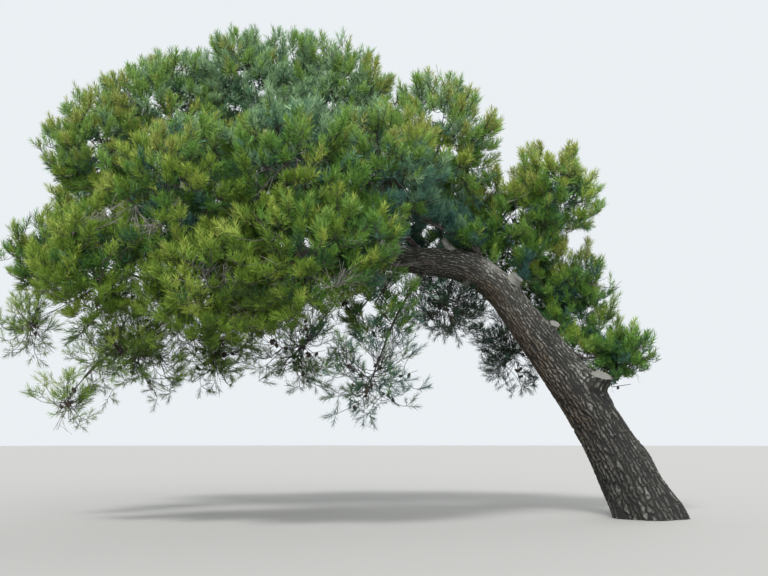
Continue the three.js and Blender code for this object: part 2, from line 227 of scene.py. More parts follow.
# %% The masses of foliage
# Each row: what its bough leaves, at which share of that limb's length, the mass's middle, its reach, and
# whether it is dense.
MASS_ROWS = {
    "left_tip": ("trunk", 1, (-7.34, -0.20, 3.14), 0.57, True),
    "outer_left": ("trunk", 0.78, (-6.77, -0.10, 4.55), 0.78, True),
    "front_left": ("trunk", 0.745, (-6.31, -1.45, 2.81), 0.74, True),
    "back_left": ("trunk", 0.715, (-7.10, 1.25, 4.01), 0.83, True),
    "top_left": ("trunk", 0.625, (-5.94, 0.10, 5.06), 0.90, True),
    "top": ("trunk", 0.575, (-4.84, 0.20, 5.38), 0.97, True),
    "top_right": ("trunk", 0.5, (-3.82, 0.30, 5.29), 0.91, True),
    "shoulder": ("trunk", 0.395, (-2.47, 0.10, 4.74), 0.91, True),
    "far_right": ("trunk", 0.355, (-0.96, 0.20, 4.15), 0.69, True),
    "right_mid": ("trunk", 0.33, (-1.42, 0.60, 3.75), 0.77, True),
    "right_low": ("trunk", 0.285, (-0.78, 0.75, 2.84), 0.67, True),
    "right_tip": ("right_low", 0.35, (-0.16, 0.60, 2.03), 0.54, True),
    "hang_right": ("trunk", 0.405, (-1.43, 0.85, 2.11), 0.66, False),
    "hang_inner": ("trunk", 0.46, (-2.38, 0.35, 2.68), 0.62, False),
    "front_right": ("trunk", 0.48, (-3.45, -1.45, 3.11), 0.59, True),
    "front_mid": ("trunk", 0.56, (-4.05, -1.80, 2.83), 0.73, True),
    "front_low": ("trunk", 0.645, (-5.04, -1.70, 2.50), 0.71, True),
    "front_high_left": ("trunk", 0.695, (-5.40, -1.55, 3.63), 0.83, True),
    "front_high": ("trunk", 0.535, (-4.21, -1.45, 3.89), 0.83, True),
    "front_high_right": ("shoulder", 0.35, (-3.14, -1.10, 4.02), 0.76, True),
    "back_mid_left": ("trunk", 0.66, (-5.45, 1.60, 4.55), 0.93, True),
    "back_mid_right": ("trunk", 0.52, (-3.90, 1.60, 4.55), 0.93, True),
    "back_right": ("trunk", 0.425, (-2.40, 1.55, 4.03), 0.87, True),
    "back_low": ("trunk", 0.6, (-4.95, 1.45, 3.09), 0.82, True),
    "under_end": ("trunk", 0.545, (-3.26, -0.50, 2.56), 0.59, True),
    "hang_mid": ("trunk", 0.495, (-3.30, -0.70, 1.65), 0.68, False),
    "hang_centre": ("trunk", 0.59, (-4.18, -0.60, 1.96), 0.64, False),
    "hang_mid_left": ("trunk", 0.66, (-5.13, -0.80, 1.95), 0.58, False),
    "hang_front_left": ("trunk", 0.72, (-5.96, -1.00, 1.91), 0.65, False),
    "hang_left": ("hang_front_left", 0.7, (-6.75, -0.90, 1.37), 0.42, False),
    "hang_tip": ("trunk", 0.88, (-7.40, -0.45, 2.29), 0.47, False),
}
NO_BOUGH = (
    "left_tip", "right_mid", "under_end", "hang_right", "hang_inner", "hang_centre", "hang_mid_left",
    "hang_tip",
)
MASSES = {}
for seed, (name, (on, at, middle, reach, dense)) in enumerate(MASS_ROWS.items(), start=1):
    mass = {"name": name, "on": on, "at": at, "middle": np.array(middle), "reach": reach, "dense": dense}
    MASSES[name] = {**mass, "seed": seed}
print("masses", len(MASSES))

# %% [markdown]
# ## Boughs
#
# On the real object: each bough leaves the trunk with a thick collar, turns up or out to its own part of
# the crown, and thins as it goes. A curve object with a bevel could do it, but its thickness is awkward to
# steer. So a bough is a smooth curve of four points, and its bark is a sheet rolled round that curve, as
# the trunk's is.


# %% Curves
class Bend:
    """A smooth curve from three or four control points, read by its share of arc length."""

    def __init__(self, *controls):
        self.controls = np.array(controls)
        order = len(controls) - 1
        t = np.linspace(0, 1, 201)[:, None]
        self.raw = sum(
            math.comb(order, i) * (1 - t) ** (order - i) * t**i * self.controls[i] for i in range(order + 1)
        )
        gaps = np.linalg.norm(np.diff(self.raw, axis=0), axis=1)
        self.lengths = np.concatenate([[0], np.cumsum(gaps)])
        self.length = self.lengths[-1]

    def at(self, share):
        wanted = np.atleast_1d(share) * self.length
        return np.stack([np.interp(wanted, self.lengths, self.raw[:, k]) for k in range(3)], axis=1)

    def way(self, share):
        share = np.atleast_1d(share)
        return unit(self.at(np.minimum(share + 0.005, 1)) - self.at(np.maximum(share - 0.005, 0)))


class TrunkLimb:
    """The trunk, read in the same way as a bough."""

    def at(self, share):
        return trunk_point(np.atleast_1d(share) * TRUNK["length"])

    def way(self, share):
        share = np.atleast_1d(share)
        return unit(self.at(share + 0.004) - self.at(share - 0.004))


print("a bend of two legs, 1 m each, is", round(Bend((0, 0, 0), (1, 0, 0), (1, 0, 1)).length, 3), "m long")

# %% The boughs' curves
PIPE_RADIUS = 0.033
OPEN_SHARE = 0.2
BOUGH_TIP_RADIUS = 0.015
COLLAR, COLLAR_FADE = 0.45, 0.12
FOLLOW, ENTRY, LIFT = 0.35, 0.74, 0.35
FIRST_HANDLE, LAST_HANDLE = 0.35, 0.3
SAMPLE_STEP = 0.07


def load_on(mass):
    """The pipes of wood in a mass's bough: for its own mass, and for those on the boughs that leave it."""
    own = 1 if mass["dense"] else OPEN_SHARE
    return own + sum(load_on(other) for other in MASSES.values() if other["on"] == mass["name"])


def bough_radius(root, share):
    straight = root + (BOUGH_TIP_RADIUS - root) * share
    return straight + root * COLLAR * np.exp(-share / COLLAR_FADE)


def make_bough(mass, parent):
    """A bough leaves its parent partly along it, and ends where it enters its own mass."""
    start = parent.at(mass["at"])[0]
    straight = unit(mass["middle"] - start)
    leaving = unit(parent.way(mass["at"])[0] * FOLLOW + straight)
    entering = unit(straight + UP * (LIFT if mass["dense"] else -LIFT))
    end = mass["middle"] - entering * mass["reach"] * ENTRY
    span = np.linalg.norm(end - start)
    bough = Bend(start, start + leaving * span * FIRST_HANDLE, end - entering * span * LAST_HANDLE, end)
    bough.root = PIPE_RADIUS * math.sqrt(load_on(mass))
    return bough


LIMBS = {"trunk": TrunkLimb()}
for mass in MASSES.values():
    if mass["name"] not in NO_BOUGH:
        LIMBS[mass["name"]] = make_bough(mass, LIMBS[mass["on"]])


TRUNK_SAMPLES = np.arange(-TRUNK["below_ground"], TRUNK["length"], SAMPLE_STEP)


def sample_limbs():
    """Points and radii along every limb, to keep twigs and needles off them."""
    points, radii = [trunk_point(TRUNK_SAMPLES)], [trunk_radius(TRUNK_SAMPLES)]
    for name, bough in LIMBS.items():
        if name == "trunk":
            continue
        share = np.linspace(0, 1, math.ceil(bough.length / SAMPLE_STEP) + 1)
        points.append(bough.at(share))
        radii.append(bough_radius(bough.root, share))
    return np.concatenate(points), np.concatenate(radii)


LIMB_POINTS, LIMB_RADII = sample_limbs()
print("boughs", len(LIMBS) - 1, "limb samples", len(LIMB_POINTS))

# %% [markdown]
# ## Bark
#
# On the real object: the bark is thick and grey-brown, split by dark furrows into long plates about as wide
# as three fingers, and the plates are smaller and flatter higher up. An image could fake this, but it would
# look flat at the edges of the trunk. So the plates are real relief: a flat sheet of small squares is
# raised and cut by a pattern of cells, rolled round the limb, and its seam is merged. The pattern repeats
# round the limb, so the seam doesn't show.


# %% Patterns worked out from whole numbers
def scatter(a, b, salt):
    """A repeatable number from 0 to 1 for each pair of whole numbers."""
    mixed = a.astype(np.int64) * 374761393 + b.astype(np.int64) * 668265263 + salt * 974634777
    mixed = mixed & LAST_32_BITS
    mixed = ((mixed ^ (mixed >> 13)) * 1274126177) & LAST_32_BITS
    return (mixed ^ (mixed >> 16)) / (LAST_32_BITS + 1)


def soft_noise(u, v, around, salt):
    """Smooth noise from -1 to 1 over a sheet that repeats every around units of u."""
    iu, iv = np.floor(u), np.floor(v)
    fu, fv = u - iu, v - iv
    fu, fv = fu * fu * (3 - 2 * fu), fv * fv * (3 - 2 * fv)

    def corner(du, dv):
        return scatter(np.mod(iu + du, around), iv + dv, salt)

    low = corner(0, 0) * (1 - fu) + corner(1, 0) * fu
    high = corner(0, 1) * (1 - fu) + corner(1, 1) * fu
    return 2 * (low * (1 - fv) + high * fv) - 1


def cell_pattern(u, v, around, width, length, salt):
    """Three values at each place: the distance to its nearest furrow in metres, how much that furrow runs
    lengthwise, and its cell's tone."""
    iu, iv = np.floor(u), np.floor(v)
    first, second = np.full(u.shape, 9.0), np.full(u.shape, 9.0)
    nearest, next_one = np.zeros((2, *u.shape)), np.zeros((2, *u.shape))
    tone = np.zeros(u.shape)
    for du in (-1, 0, 1):
        for dv in (-1, 0, 1):
            cu, cv = iu + du, iv + dv
            wrapped = np.mod(cu, around)
            pu = cu + 0.5 + 0.75 * (scatter(wrapped, cv, salt) - 0.5)
            pv = cv + 0.5 + 0.95 * (scatter(wrapped, cv, salt + 1) - 0.5)
            distance = np.hypot(u - pu, v - pv)
            nearer = distance < first
            middle = ~nearer & (distance < second)
            spot = np.array([pu, pv])
            next_one = np.where(nearer, nearest, np.where(middle, spot, next_one))
            second = np.where(nearer, first, np.where(middle, distance, second))
            nearest = np.where(nearer, spot, nearest)
            tone = np.where(nearer, scatter(wrapped, cv, salt + 2), tone)
            first = np.where(nearer, distance, first)
    across = nearest - next_one
    across = across / np.maximum(np.hypot(*across), 1e-6)
    metres = (second - first) / 2 / np.hypot(across[0] / width, across[1] / length)
    return metres, np.abs(across[0]), tone


TEST_U, TEST_V = np.meshgrid(np.arange(0, 8, 0.1), np.arange(0, 8, 0.1))
print("noise runs from", soft_noise(TEST_U, TEST_V, 8, 1).min().round(2), "up")


# %% The bark's relief
def bark_relief(angle, v, radius, plates, plate_length, depth, salt):
    """Three values at each place: the bark's height over the limb's radius, how much it is plate, and how
    pale it is. Where it is not plate, the colour is painted near black as shade in the furrows, and the
    paleness is partly a painted highlight in the middle of each plate. The place along the limb, v, is
    counted in plates."""
    u = angle / FULL_TURN * plates
    width = FULL_TURN * radius / plates
    wander = 0.16 * soft_noise(u * 0.5, v * 1.1, plates / 2, salt + 10)
    wander = wander + 0.17 * soft_noise(u, v * 3.5, plates, salt + 11)
    shift = 0.4 * soft_noise(u, v, plates, salt + 12)
    edge, lengthwise, tone = cell_pattern(u + wander, v + shift, plates, width, plate_length, salt)
    furrow = width * (0.10 + 0.22 * lengthwise) * (1.1 - 0.35 * tone)
    plate = ease(edge, furrow * 0.3, furrow * 1.45)
    plate = 1 - (1 - plate) * (0.6 + 0.4 * lengthwise)
    fine_u, fine_v = (u + wander) * 2, v * 2.3
    fine = cell_pattern(fine_u, fine_v, plates * 2, width / 2, plate_length / 2.3, salt + 20)
    crack, crack_lengthwise, _ = fine
    plate = plate * (1 - (0.16 + 0.22 * crack_lengthwise) * (1 - ease(crack, 0, width * 0.1)))
    rough = soft_noise(u * 4, v * 12, plates * 4, salt + 30) + soft_noise(u * 2, v * 6, plates * 2, salt + 31)
    height = depth * (plate - 0.85 + 0.25 * (tone - 0.5) + 0.08 * rough)
    # Painted highlight: each plate is paler in its middle than at its edges, over its own random tone.
    pale = (0.15 + 1.05 * tone) * ease(edge, width * 0.12, width * 0.42)
    pale = pale * np.maximum(0.72 + 0.9 * rough, 0.1)
    return height, plate, np.clip(pale, 0, 1.3)


test_height = bark_relief(TEST_U * FULL_TURN / 8, TEST_V, 0.3, 8, 0.1, 0.02, 1)[0]
print("bark 20 mm deep runs from", (test_height.min() * 1000).round(1), "mm up")


# %% Corners and marks of a mesh
def read_corners(piece):
    """Every corner of a mesh, as rows of three numbers."""
    flat = np.empty(len(piece.data.vertices) * 3)
    piece.data.vertices.foreach_get("co", flat)
    return flat.reshape(-1, 3)


def write_corners(piece, corners):
    """Moves every corner of a mesh."""
    piece.data.vertices.foreach_set("co", corners.ravel())
    piece.data.update()


def add_marks(piece, marks):
    """Marks with names, one value for each corner, for the material to read."""
    for mark, values in marks.items():
        layer = piece.data.attributes.new(mark, "FLOAT", "POINT")
        layer.data.foreach_set("value", values.astype(np.float32))


print("corners on the floor", len(read_corners(floor)))


# %% Rolling a sheet of bark round a limb
def roll_bark(name, around, rows, place):
    """A sheet of around by rows squares is laid out, and place gives each corner's spot and colouring."""
    bpy.ops.object.select_all(action="DESELECT")
    bpy.ops.mesh.primitive_grid_add(x_subdivisions=around, y_subdivisions=rows, size=1, calc_uvs=True)
    piece = bpy.context.object
    piece.name = name
    piece.data.name = name
    flat = read_corners(piece)
    column = np.rint((flat[:, 0] + 0.5) * around).astype(int)
    row = np.rint((flat[:, 1] + 0.5) * rows).astype(int)
    points, marks = place(column / around * FULL_TURN, row)
    add_marks(piece, marks)
    write_corners(piece, points)
    bpy.ops.object.mode_set(mode="EDIT")
    bpy.ops.mesh.select_all(action="SELECT")
    bpy.ops.mesh.remove_doubles(threshold=0.00002)
    bpy.ops.mesh.select_all(action="DESELECT")
    bpy.ops.mesh.select_mode(type="EDGE")
    bpy.ops.mesh.select_non_manifold(extend=False)
    bpy.ops.mesh.edge_face_add()
    bpy.ops.mesh.select_all(action="SELECT")
    bpy.ops.mesh.normals_make_consistent(inside=False)
    bpy.ops.object.mode_set(mode="OBJECT")
    bpy.ops.object.shade_smooth()
    return piece


def ring_axes(ways):
    """Two directions across a limb at each point: one towards the picture's side, and one square to it."""
    across = unit(FRONT - ways * (ways @ FRONT)[:, None])
    return across, np.cross(ways, across)


print("bark helpers ready")

# %% [markdown]
# ### Bark's finish
#
# On the real object: the plates are pale grey on top and brown at their sides, the furrows are dark, and the
# underside of the trunk is rusty brown. One colour with noise would look like clay. So the sheet carries
# three marks, for plate, tone, and rust with its shade, and the material mixes its colours by those marks,
# with wide noise for brown patches and fine noise on top for the grain. Part of this is painted light and
# shade: the furrows are painted near black as shade, the middles of the plates are painted paler as a
# highlight, and the rusty underside is painted darker as shade.


# %% Helpers for node materials
def add_node(tree, kind, **settings):
    """A new node with these settings."""
    node = tree.nodes.new(kind)
    for key, value in settings.items():
        setattr(node, key, value)
    return node


def mix_colours(tree, factor, low, high):
    """A mix of two colours, each a node's output or a plain colour, by a node's output."""
    mix = add_node(tree, "ShaderNodeMix", data_type="RGBA")
    tree.links.new(factor, mix.inputs["Factor"])
    for socket, value in ((mix.inputs[6], low), (mix.inputs[7], high)):
        if isinstance(value, tuple):
            socket.default_value = (*value, 1)
        else:
            tree.links.new(value, socket)
    return mix.outputs[2]


def scale_and_shift(tree, value, factor, offset):
    """value times factor plus offset, held between 0 and 1."""
    node = add_node(tree, "ShaderNodeMath", operation="MULTIPLY_ADD", use_clamp=True)
    tree.links.new(value, node.inputs[0])
    node.inputs[1].default_value = factor
    node.inputs[2].default_value = offset
    return node.outputs[0]


def add_noise(tree, place, scale, detail=2):
    """Noise over a place, as the output that says how strong it is."""
    noise = add_node(tree, "ShaderNodeTexNoise")
    noise.inputs["Scale"].default_value = scale
    noise.inputs["Detail"].default_value = detail
    tree.links.new(place, noise.inputs["Vector"])
    return noise.outputs["Fac"]


def add_bump(tree, shader, height, strength, distance):
    """Fine relief in the shading alone."""
    bump = add_node(tree, "ShaderNodeBump")
    bump.inputs["Strength"].default_value = strength
    bump.inputs["Distance"].default_value = distance
    tree.links.new(height, bump.inputs["Height"])
    tree.links.new(bump.outputs["Normal"], shader.inputs["Normal"])


print("node helpers ready")


# %% Bark material
def bark_material(name, furrow, plate_brown, plate_grey, rust_and_shade, grain_scale):
    """Bark whose colours follow the marks on the mesh, with painted shade and highlights."""
    material, shader = new_material(name, plate_brown, 0.93)
    tree = material.node_tree
    mark = {}
    for key in ("plate", "tone", "rust_and_shade"):
        mark[key] = add_node(tree, "ShaderNodeAttribute", attribute_name=key).outputs["Fac"]
    place = add_node(tree, "ShaderNodeTexCoord").outputs["Object"]
    grain = add_noise(tree, place, grain_scale, 6)
    patches = add_noise(tree, place, grain_scale * 0.12)
    # The pale plate middles are partly the bark's own grey and partly a painted highlight.
    top = mix_colours(tree, scale_and_shift(tree, mark["tone"], 1.0, 0), plate_brown, plate_grey)
    top = mix_colours(tree, scale_and_shift(tree, patches, 2.0, -0.9), top, plate_brown)
    # The rusty underside is partly the bark's own colour and partly painted shade.
    top = mix_colours(tree, scale_and_shift(tree, mark["rust_and_shade"], 0.8, 0), top, rust_and_shade)
    speckled = mix_colours(tree, scale_and_shift(tree, grain, 2.6, -0.6), furrow, top)
    # Painted shade: the furrows are mixed in near black, darker than their own brown.
    colour = mix_colours(tree, scale_and_shift(tree, mark["plate"], 1.5, -0.32), furrow, speckled)
    tree.links.new(colour, shader.inputs["Base Color"])
    add_bump(tree, shader, grain, 0.5, 0.006)
    return material


# The furrow colours are near black, as painted shade over the furrows' own dark brown.
trunk_bark = bark_material(
    "trunk_bark", furrow=(0.009, 0.009, 0.008), plate_brown=(0.048, 0.044, 0.034),
    plate_grey=(0.285, 0.285, 0.255), rust_and_shade=(0.100, 0.066, 0.037), grain_scale=55,
)
bark_of_boughs = bark_material(
    "bark_of_boughs", furrow=(0.022, 0.019, 0.016), plate_brown=(0.105, 0.09, 0.075),
    plate_grey=(0.26, 0.25, 0.235), rust_and_shade=(0.16, 0.085, 0.05), grain_scale=80,
)
print("bark finishes", trunk_bark.name, bark_of_boughs.name)

# %% [markdown]
# ### Trunk
#
# On the real object: about sixty centimetres thick, flared and ribbed at the foot, with swellings of bark
# where sawn limbs stood, a healed bulge low on its right and a pale worn heel by the dead spur. Towards the
# bend the plates get shorter and their furrows shallower. A tapered cylinder could be sculpted, but the
# sheet of bark takes all this as numbers. Its rows are close together where the trunk shows, and wide apart
# inside the crown. The foot is cut flat at ground level with a bisecting plane, as a saw would, and the cut
# is filled.

# %% Stubs' places
STUBS = {
    "stub_low": {"along": 1.62, "way": (0.5, -0.55, 0.68), "radius": 0.155, "swell": 1.35, "stand": 0.13},
    "stub_knot": {"along": 2.49, "way": (0.62, -0.45, 0.64), "radius": 0.066, "swell": 1.3, "stand": 0.075},
    "stub_top": {"along": 3.23, "way": (0.61, -0.5, 0.62), "radius": 0.085, "swell": 1.3, "stand": 0.105},
    "stub_under": {"along": 3.68, "way": (-0.47, -0.5, -0.73), "radius": 0.046, "swell": 1.25, "stand": 0.07},
    "dead_spur": {"along": 3.58, "way": (-0.72, -0.22, 0.66), "radius": 0.038, "swell": 2.1, "stand": 0.46},
}
for stub in STUBS.values():
    stub["start"] = trunk_point(stub["along"])[0]
    stub["way"] = unit(np.array(stub["way"]))
    stub["skin"] = float(trunk_radius(stub["along"]))
print("stubs and spur", len(STUBS))

# %% Rows of the trunk's bark
TRUNK_AROUND = 224
TRUNK_PLATES = 38
TRUNK_SALT = 3
FOOT_PLATE, CROWN_PLATE = 0.165, 0.08


def trunk_rows():
    """Lengths along the trunk, 11 mm apart at the foot and 60 mm apart in the crown."""
    rows = [-TRUNK["below_ground"]]
    while rows[-1] < TRUNK["length"]:
        spread = float(ease(rows[-1], 0.5, 4.4)) * 0.004 + float(ease(rows[-1], 4.4, 5.4)) * 0.045
        rows.append(rows[-1] + 0.011 + spread)
    rows[-1] = TRUNK["length"]
    return np.array(rows)


TRUNK_ROWS = trunk_rows()
PLATE_LENGTHS = FOOT_PLATE + (CROWN_PLATE - FOOT_PLATE) * ease(TRUNK_ROWS, 0.6, 3.6)
PLATES_ALONG = np.concatenate([[0], np.cumsum(np.diff(TRUNK_ROWS) / PLATE_LENGTHS[1:])])
print("rows of bark on the trunk", len(TRUNK_ROWS))

# %% Swellings and colour marks on the trunk
HEEL = {"along": 3.47, "way": unit(np.array([0.3, -0.45, 0.84])), "reach": 0.10}
HEALED = {"along": 0.70, "way": unit(np.array([0.93, -0.1, 0.36])), "reach": 0.22, "height": 0.038}
UNDERSIDE = unit(np.array([-0.75, -0.3, -0.55]))
THICKER, HIGHER = 0.2, 0.022
COLLAR_REACH, COLLAR_HEIGHT = 1.75, 0.38


def nearness(points, spot):
    """1 at a spot on the trunk's skin, fading to 0 over its reach."""
    place = trunk_point(spot["along"])[0] + spot["way"] * trunk_radius(spot["along"])
    return np.exp(-((np.linalg.norm(points - place, axis=1) / spot["reach"]) ** 2))


def swell_trunk(points, out):
    """Moves the skin out at the healed bulge, and in a collar round every stub."""
    points = points + out * (HEALED["height"] * nearness(points, HEALED))[:, None]
    for stub in STUBS.values():
        from_axis = points - stub["start"]
        run = from_axis @ stub["way"]
        away = np.linalg.norm(from_axis - run[:, None] * stub["way"], axis=1)
        collar = np.exp(-((away / (stub["radius"] * COLLAR_REACH)) ** 2)) * (run > 0)
        points = points + out * (collar * stub["radius"] * COLLAR_HEIGHT)[:, None]
    return points


def mark_trunk(angle, along, out, points, plate, tone):
    """The marks for the bark's colours: rusty and painted darker as shade beneath, darker towards the foot,
    shallower furrows with less painted shade high up, and a pale heel.
    """
    # The rusty underside is partly the bark's own colour and partly painted shade, darker where it faces
    # down.
    rust_and_shade = ease(out @ UNDERSIDE, 0.25, 0.85) * ease(along, 0.5, 1.6) * (1 - ease(along, 3.6, 4.3))
    rust_and_shade = rust_and_shade * (0.75 + 0.4 * soft_noise(angle / FULL_TURN * 8, along * 3, 8, 91))
    tone = tone * (0.78 + 0.2 * ease(along, 1.0, 2.6))
    plate = plate * (0.7 + 0.3 * ease(along, 0.8, 2.2))
    plate = plate + (1 - plate) * 0.42 * ease(along, 2.2, 3.4)
    pale = nearness(points, HEEL)
    plate = plate + (1 - plate) * pale
    return {"plate": plate, "tone": tone + 1.2 * pale, "rust_and_shade": np.clip(rust_and_shade, 0, 1)}


print("the healed bulge stands", HEALED["along"], "m up the trunk, and the heel", HEEL["along"], "m")


# %% The trunk
def place_trunk(angle, row):
    """Lays the sheet of bark round the trunk."""
    along = TRUNK_ROWS[row]
    middle = trunk_point(along)
    way = unit(trunk_point(along + 0.03) - trunk_point(np.minimum(along, TRUNK["length"] - 0.04) - 0.03))
    across, over = ring_axes(way)
    out = across * np.cos(angle)[:, None] + over * np.sin(angle)[:, None]
    buttress = 0.07 * np.cos(TRUNK["buttresses"] * angle) * np.exp(-np.maximum(along, 0) / 0.42)
    depth = 0.021 - 0.013 * ease(along, 0.5, 4.2) - 0.004 * ease(along, 4.2, 7)
    skin, places, lengths = trunk_radius(along), PLATES_ALONG[row], PLATE_LENGTHS[row]
    height, plate, tone = bark_relief(angle, places, skin, TRUNK_PLATES, lengths, depth, TRUNK_SALT)
    lump = 0.04 * soft_noise(angle / FULL_TURN * 6, along * 2.1, 6, 71) * ease(along, 0, 0.4)
    thick = ease(along, 3.1, 3.8) * (1 - ease(along, 4.7, 5.3))
    skin = skin * (1 + THICKER * thick)
    middle = middle + UP * (HIGHER * thick)[:, None]
    points = swell_trunk(middle + out * (skin * (1 + buttress + lump) + height)[:, None], out)
    return points, mark_trunk(angle, along, out, points, plate, tone)


trunk = roll_bark("trunk_bark", TRUNK_AROUND, len(TRUNK_ROWS) - 1, place_trunk)
bpy.ops.object.mode_set(mode="EDIT")
bpy.ops.mesh.select_all(action="SELECT")
bpy.ops.mesh.bisect(plane_co=(0, 0, 0), plane_no=(0, 0, 1), use_fill=True, clear_inner=True)
bpy.ops.object.mode_set(mode="OBJECT")
trunk.data.materials.append(trunk_bark)
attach(trunk, "root")
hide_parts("trunk")
print("trunk faces", len(trunk.data.polygons))

# %% Boughs' bark
BOUGH_AROUND = 20
BOUGH_ROWS = 64
BOUGH_PLATES = 10
BOUGH_PLATE = 0.1
BOUGH_FURROW = 0.006
BOUGH_RUST = 0.15
BURIED = 0.04


def place_bough(bough, first, salt):
    """Gives the function that lays a sheet round one bough, from just inside its parent to its tip."""

    def place(angle, row):
        share = first + (1 - first) * row / BOUGH_ROWS
        way = bough.way(share)
        across, over = ring_axes(way)
        out = across * np.cos(angle)[:, None] + over * np.sin(angle)[:, None]
        radius = bough_radius(bough.root, share)
        v = share * bough.length / BOUGH_PLATE
        height, plate, tone = bark_relief(angle, v, radius, BOUGH_PLATES, BOUGH_PLATE, BOUGH_FURROW, salt)
        radius = radius + height * (1 - 0.6 * share)
        marks = {"plate": plate, "tone": tone, "rust_and_shade": np.full(len(angle), BOUGH_RUST)}
        return bough.at(share) + out * radius[:, None], marks

    return place


def first_clear(name, bough):
    """The share of a bough's length at which it comes out of its parent's bark."""
    share = np.linspace(0, 0.6, 61)
    points = bough.at(share)
    if MASSES[name]["on"] == "trunk":
        near, radii = LIMB_POINTS[: len(TRUNK_SAMPLES)], LIMB_RADII[: len(TRUNK_SAMPLES)]
    else:
        parent = LIMBS[MASSES[name]["on"]]
        places = np.linspace(0, 1, 60)
        near, radii = parent.at(places), bough_radius(parent.root, places)
    gap = (np.linalg.norm(points[:, None] - near[None], axis=2) - radii).min(axis=1)
    return share[np.argmax(gap > -BURIED)]


for number, (name, bough) in enumerate(LIMBS.items()):
    if name == "trunk":
        continue
    place = place_bough(bough, first_clear(name, bough), number)
    piece = roll_bark("bark_" + name, BOUGH_AROUND, BOUGH_ROWS, place)
    piece.data.materials.append(bark_of_boughs)
    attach(piece, "root")
    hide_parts("bough_" + name)
print("boughs dressed", len(LIMBS) - 1)

# %% [markdown]
# ## Sawn stubs
#
# On the real object: four limbs were sawn off close to the trunk long ago. Each shows a grey cut face with
# rings and cracks inside a raised lip of bark. Two of the cuts slant, and the topmost stub has lost its
# bark at the end. A plain cylinder would look like a peg. So a cylinder is cut into rings along its side to
# take the bark, swells into the trunk like a collar, and its end is inset twice: once for the lip, and once
# for the weathered face, which sinks in a little.

# %% Sawn wood finish
sawn_wood, sawn_shader = new_material("sawn_wood", (0.3, 0.28, 0.24), 0.85)
tree = sawn_wood.node_tree
spot = add_node(tree, "ShaderNodeAttribute", attribute_name="pith")
rings = add_node(tree, "ShaderNodeTexWave", wave_type="RINGS", rings_direction="Z")
rings.inputs["Scale"].default_value = 60
rings.inputs["Distortion"].default_value = 2.5
rings.inputs["Detail"].default_value = 3
tree.links.new(spot.outputs["Vector"], rings.inputs["Vector"])
stains = scale_and_shift(tree, add_noise(tree, spot.outputs["Vector"], 16), 2.2, -0.8)
ringed = mix_colours(tree, rings.outputs["Fac"], (0.12, 0.115, 0.1), (0.235, 0.23, 0.2))
stained = mix_colours(tree, stains, ringed, (0.15, 0.155, 0.14))
tree.links.new(stained, sawn_shader.inputs["Base Color"])
add_bump(tree, sawn_shader, rings.outputs["Fac"], 0.6, 0.003)
print("finish", sawn_wood.name)


# %% Selecting by place
def select_where(piece, domain, test):
    """In edit mode, selects only the faces or edges whose middle passes the test."""
    bpy.ops.object.mode_set(mode="OBJECT")
    mesh = piece.data
    for elements in (mesh.polygons, mesh.edges, mesh.vertices):
        elements.foreach_set("select", np.zeros(len(elements), dtype=bool))
    if domain == "FACE":
        for face in mesh.polygons:
            face.select = bool(test(face.center, face.normal))
    else:
        for edge in mesh.edges:
            a, b = (mesh.vertices[i].co for i in edge.vertices)
            edge.select = bool(test((a + b) / 2, (b - a).normalized()))
    bpy.ops.object.mode_set(mode="EDIT")
    bpy.ops.mesh.select_mode(type=domain)


def turn_to(way):
    """Three directions: two across, and the way itself, as the columns of a turn."""
    across = unit(np.cross(way, np.array([0.0, 1.0, 0.0]) + 0.01))
    return np.stack([across, np.cross(way, across), way], axis=1)


def set_in_place(piece, stub):
    """Turns a piece from upright at the origin to a stub's place, and keeps its upright shape as a mark."""
    corners = read_corners(piece)
    mark = piece.data.attributes.new("pith", "FLOAT_VECTOR", "POINT")
    mark.data.foreach_set("vector", corners.astype(np.float32).ravel())
    write_corners(piece, corners @ turn_to(stub["way"]).T + stub["start"])


print("directions for a stub that points straight up", turn_to(UP).round(2).tolist())

# %% Modelling a stub
STUB_SIDES, STUB_RINGS = 44, 12
STUB_PLATES = 16
STUB_RUST = 0.1
CRACKS = 3
CUT_FACES = {"stub_low": (0.22, -0.42, 0.88), "stub_knot": (0.30, -0.68, 0.67)}
PEELED_STUB, PEELED_FROM = "stub_top", 0.72


def model_stub(name, radius, root, length):
    """A cylinder with rings along its side, a lip, a sunk face, and five rings in that face."""
    bpy.ops.object.select_all(action="DESELECT")
    bpy.ops.mesh.primitive_cylinder_add(
        vertices=STUB_SIDES, radius=radius, depth=length - root, location=(0, 0, (length + root) / 2)
    )
    piece = bpy.context.object
    piece.name = name + "_wood"
    bpy.ops.object.transform_apply(location=True, rotation=True, scale=True)
    bpy.ops.object.mode_set(mode="EDIT")
    select_where(piece, "EDGE", lambda middle, way: abs(way.z) > 0.9)
    bpy.ops.mesh.subdivide(number_cuts=STUB_RINGS)
    select_where(piece, "FACE", lambda middle, normal: normal.z > 0.9)
    bpy.ops.mesh.inset(thickness=radius * 0.09, depth=0)
    bpy.ops.mesh.inset(thickness=radius * 0.04, depth=-radius * 0.05)
    for _ in range(5):
        bpy.ops.mesh.inset(thickness=radius * 0.15, depth=0)
    bpy.ops.object.mode_set(mode="OBJECT")
    return piece


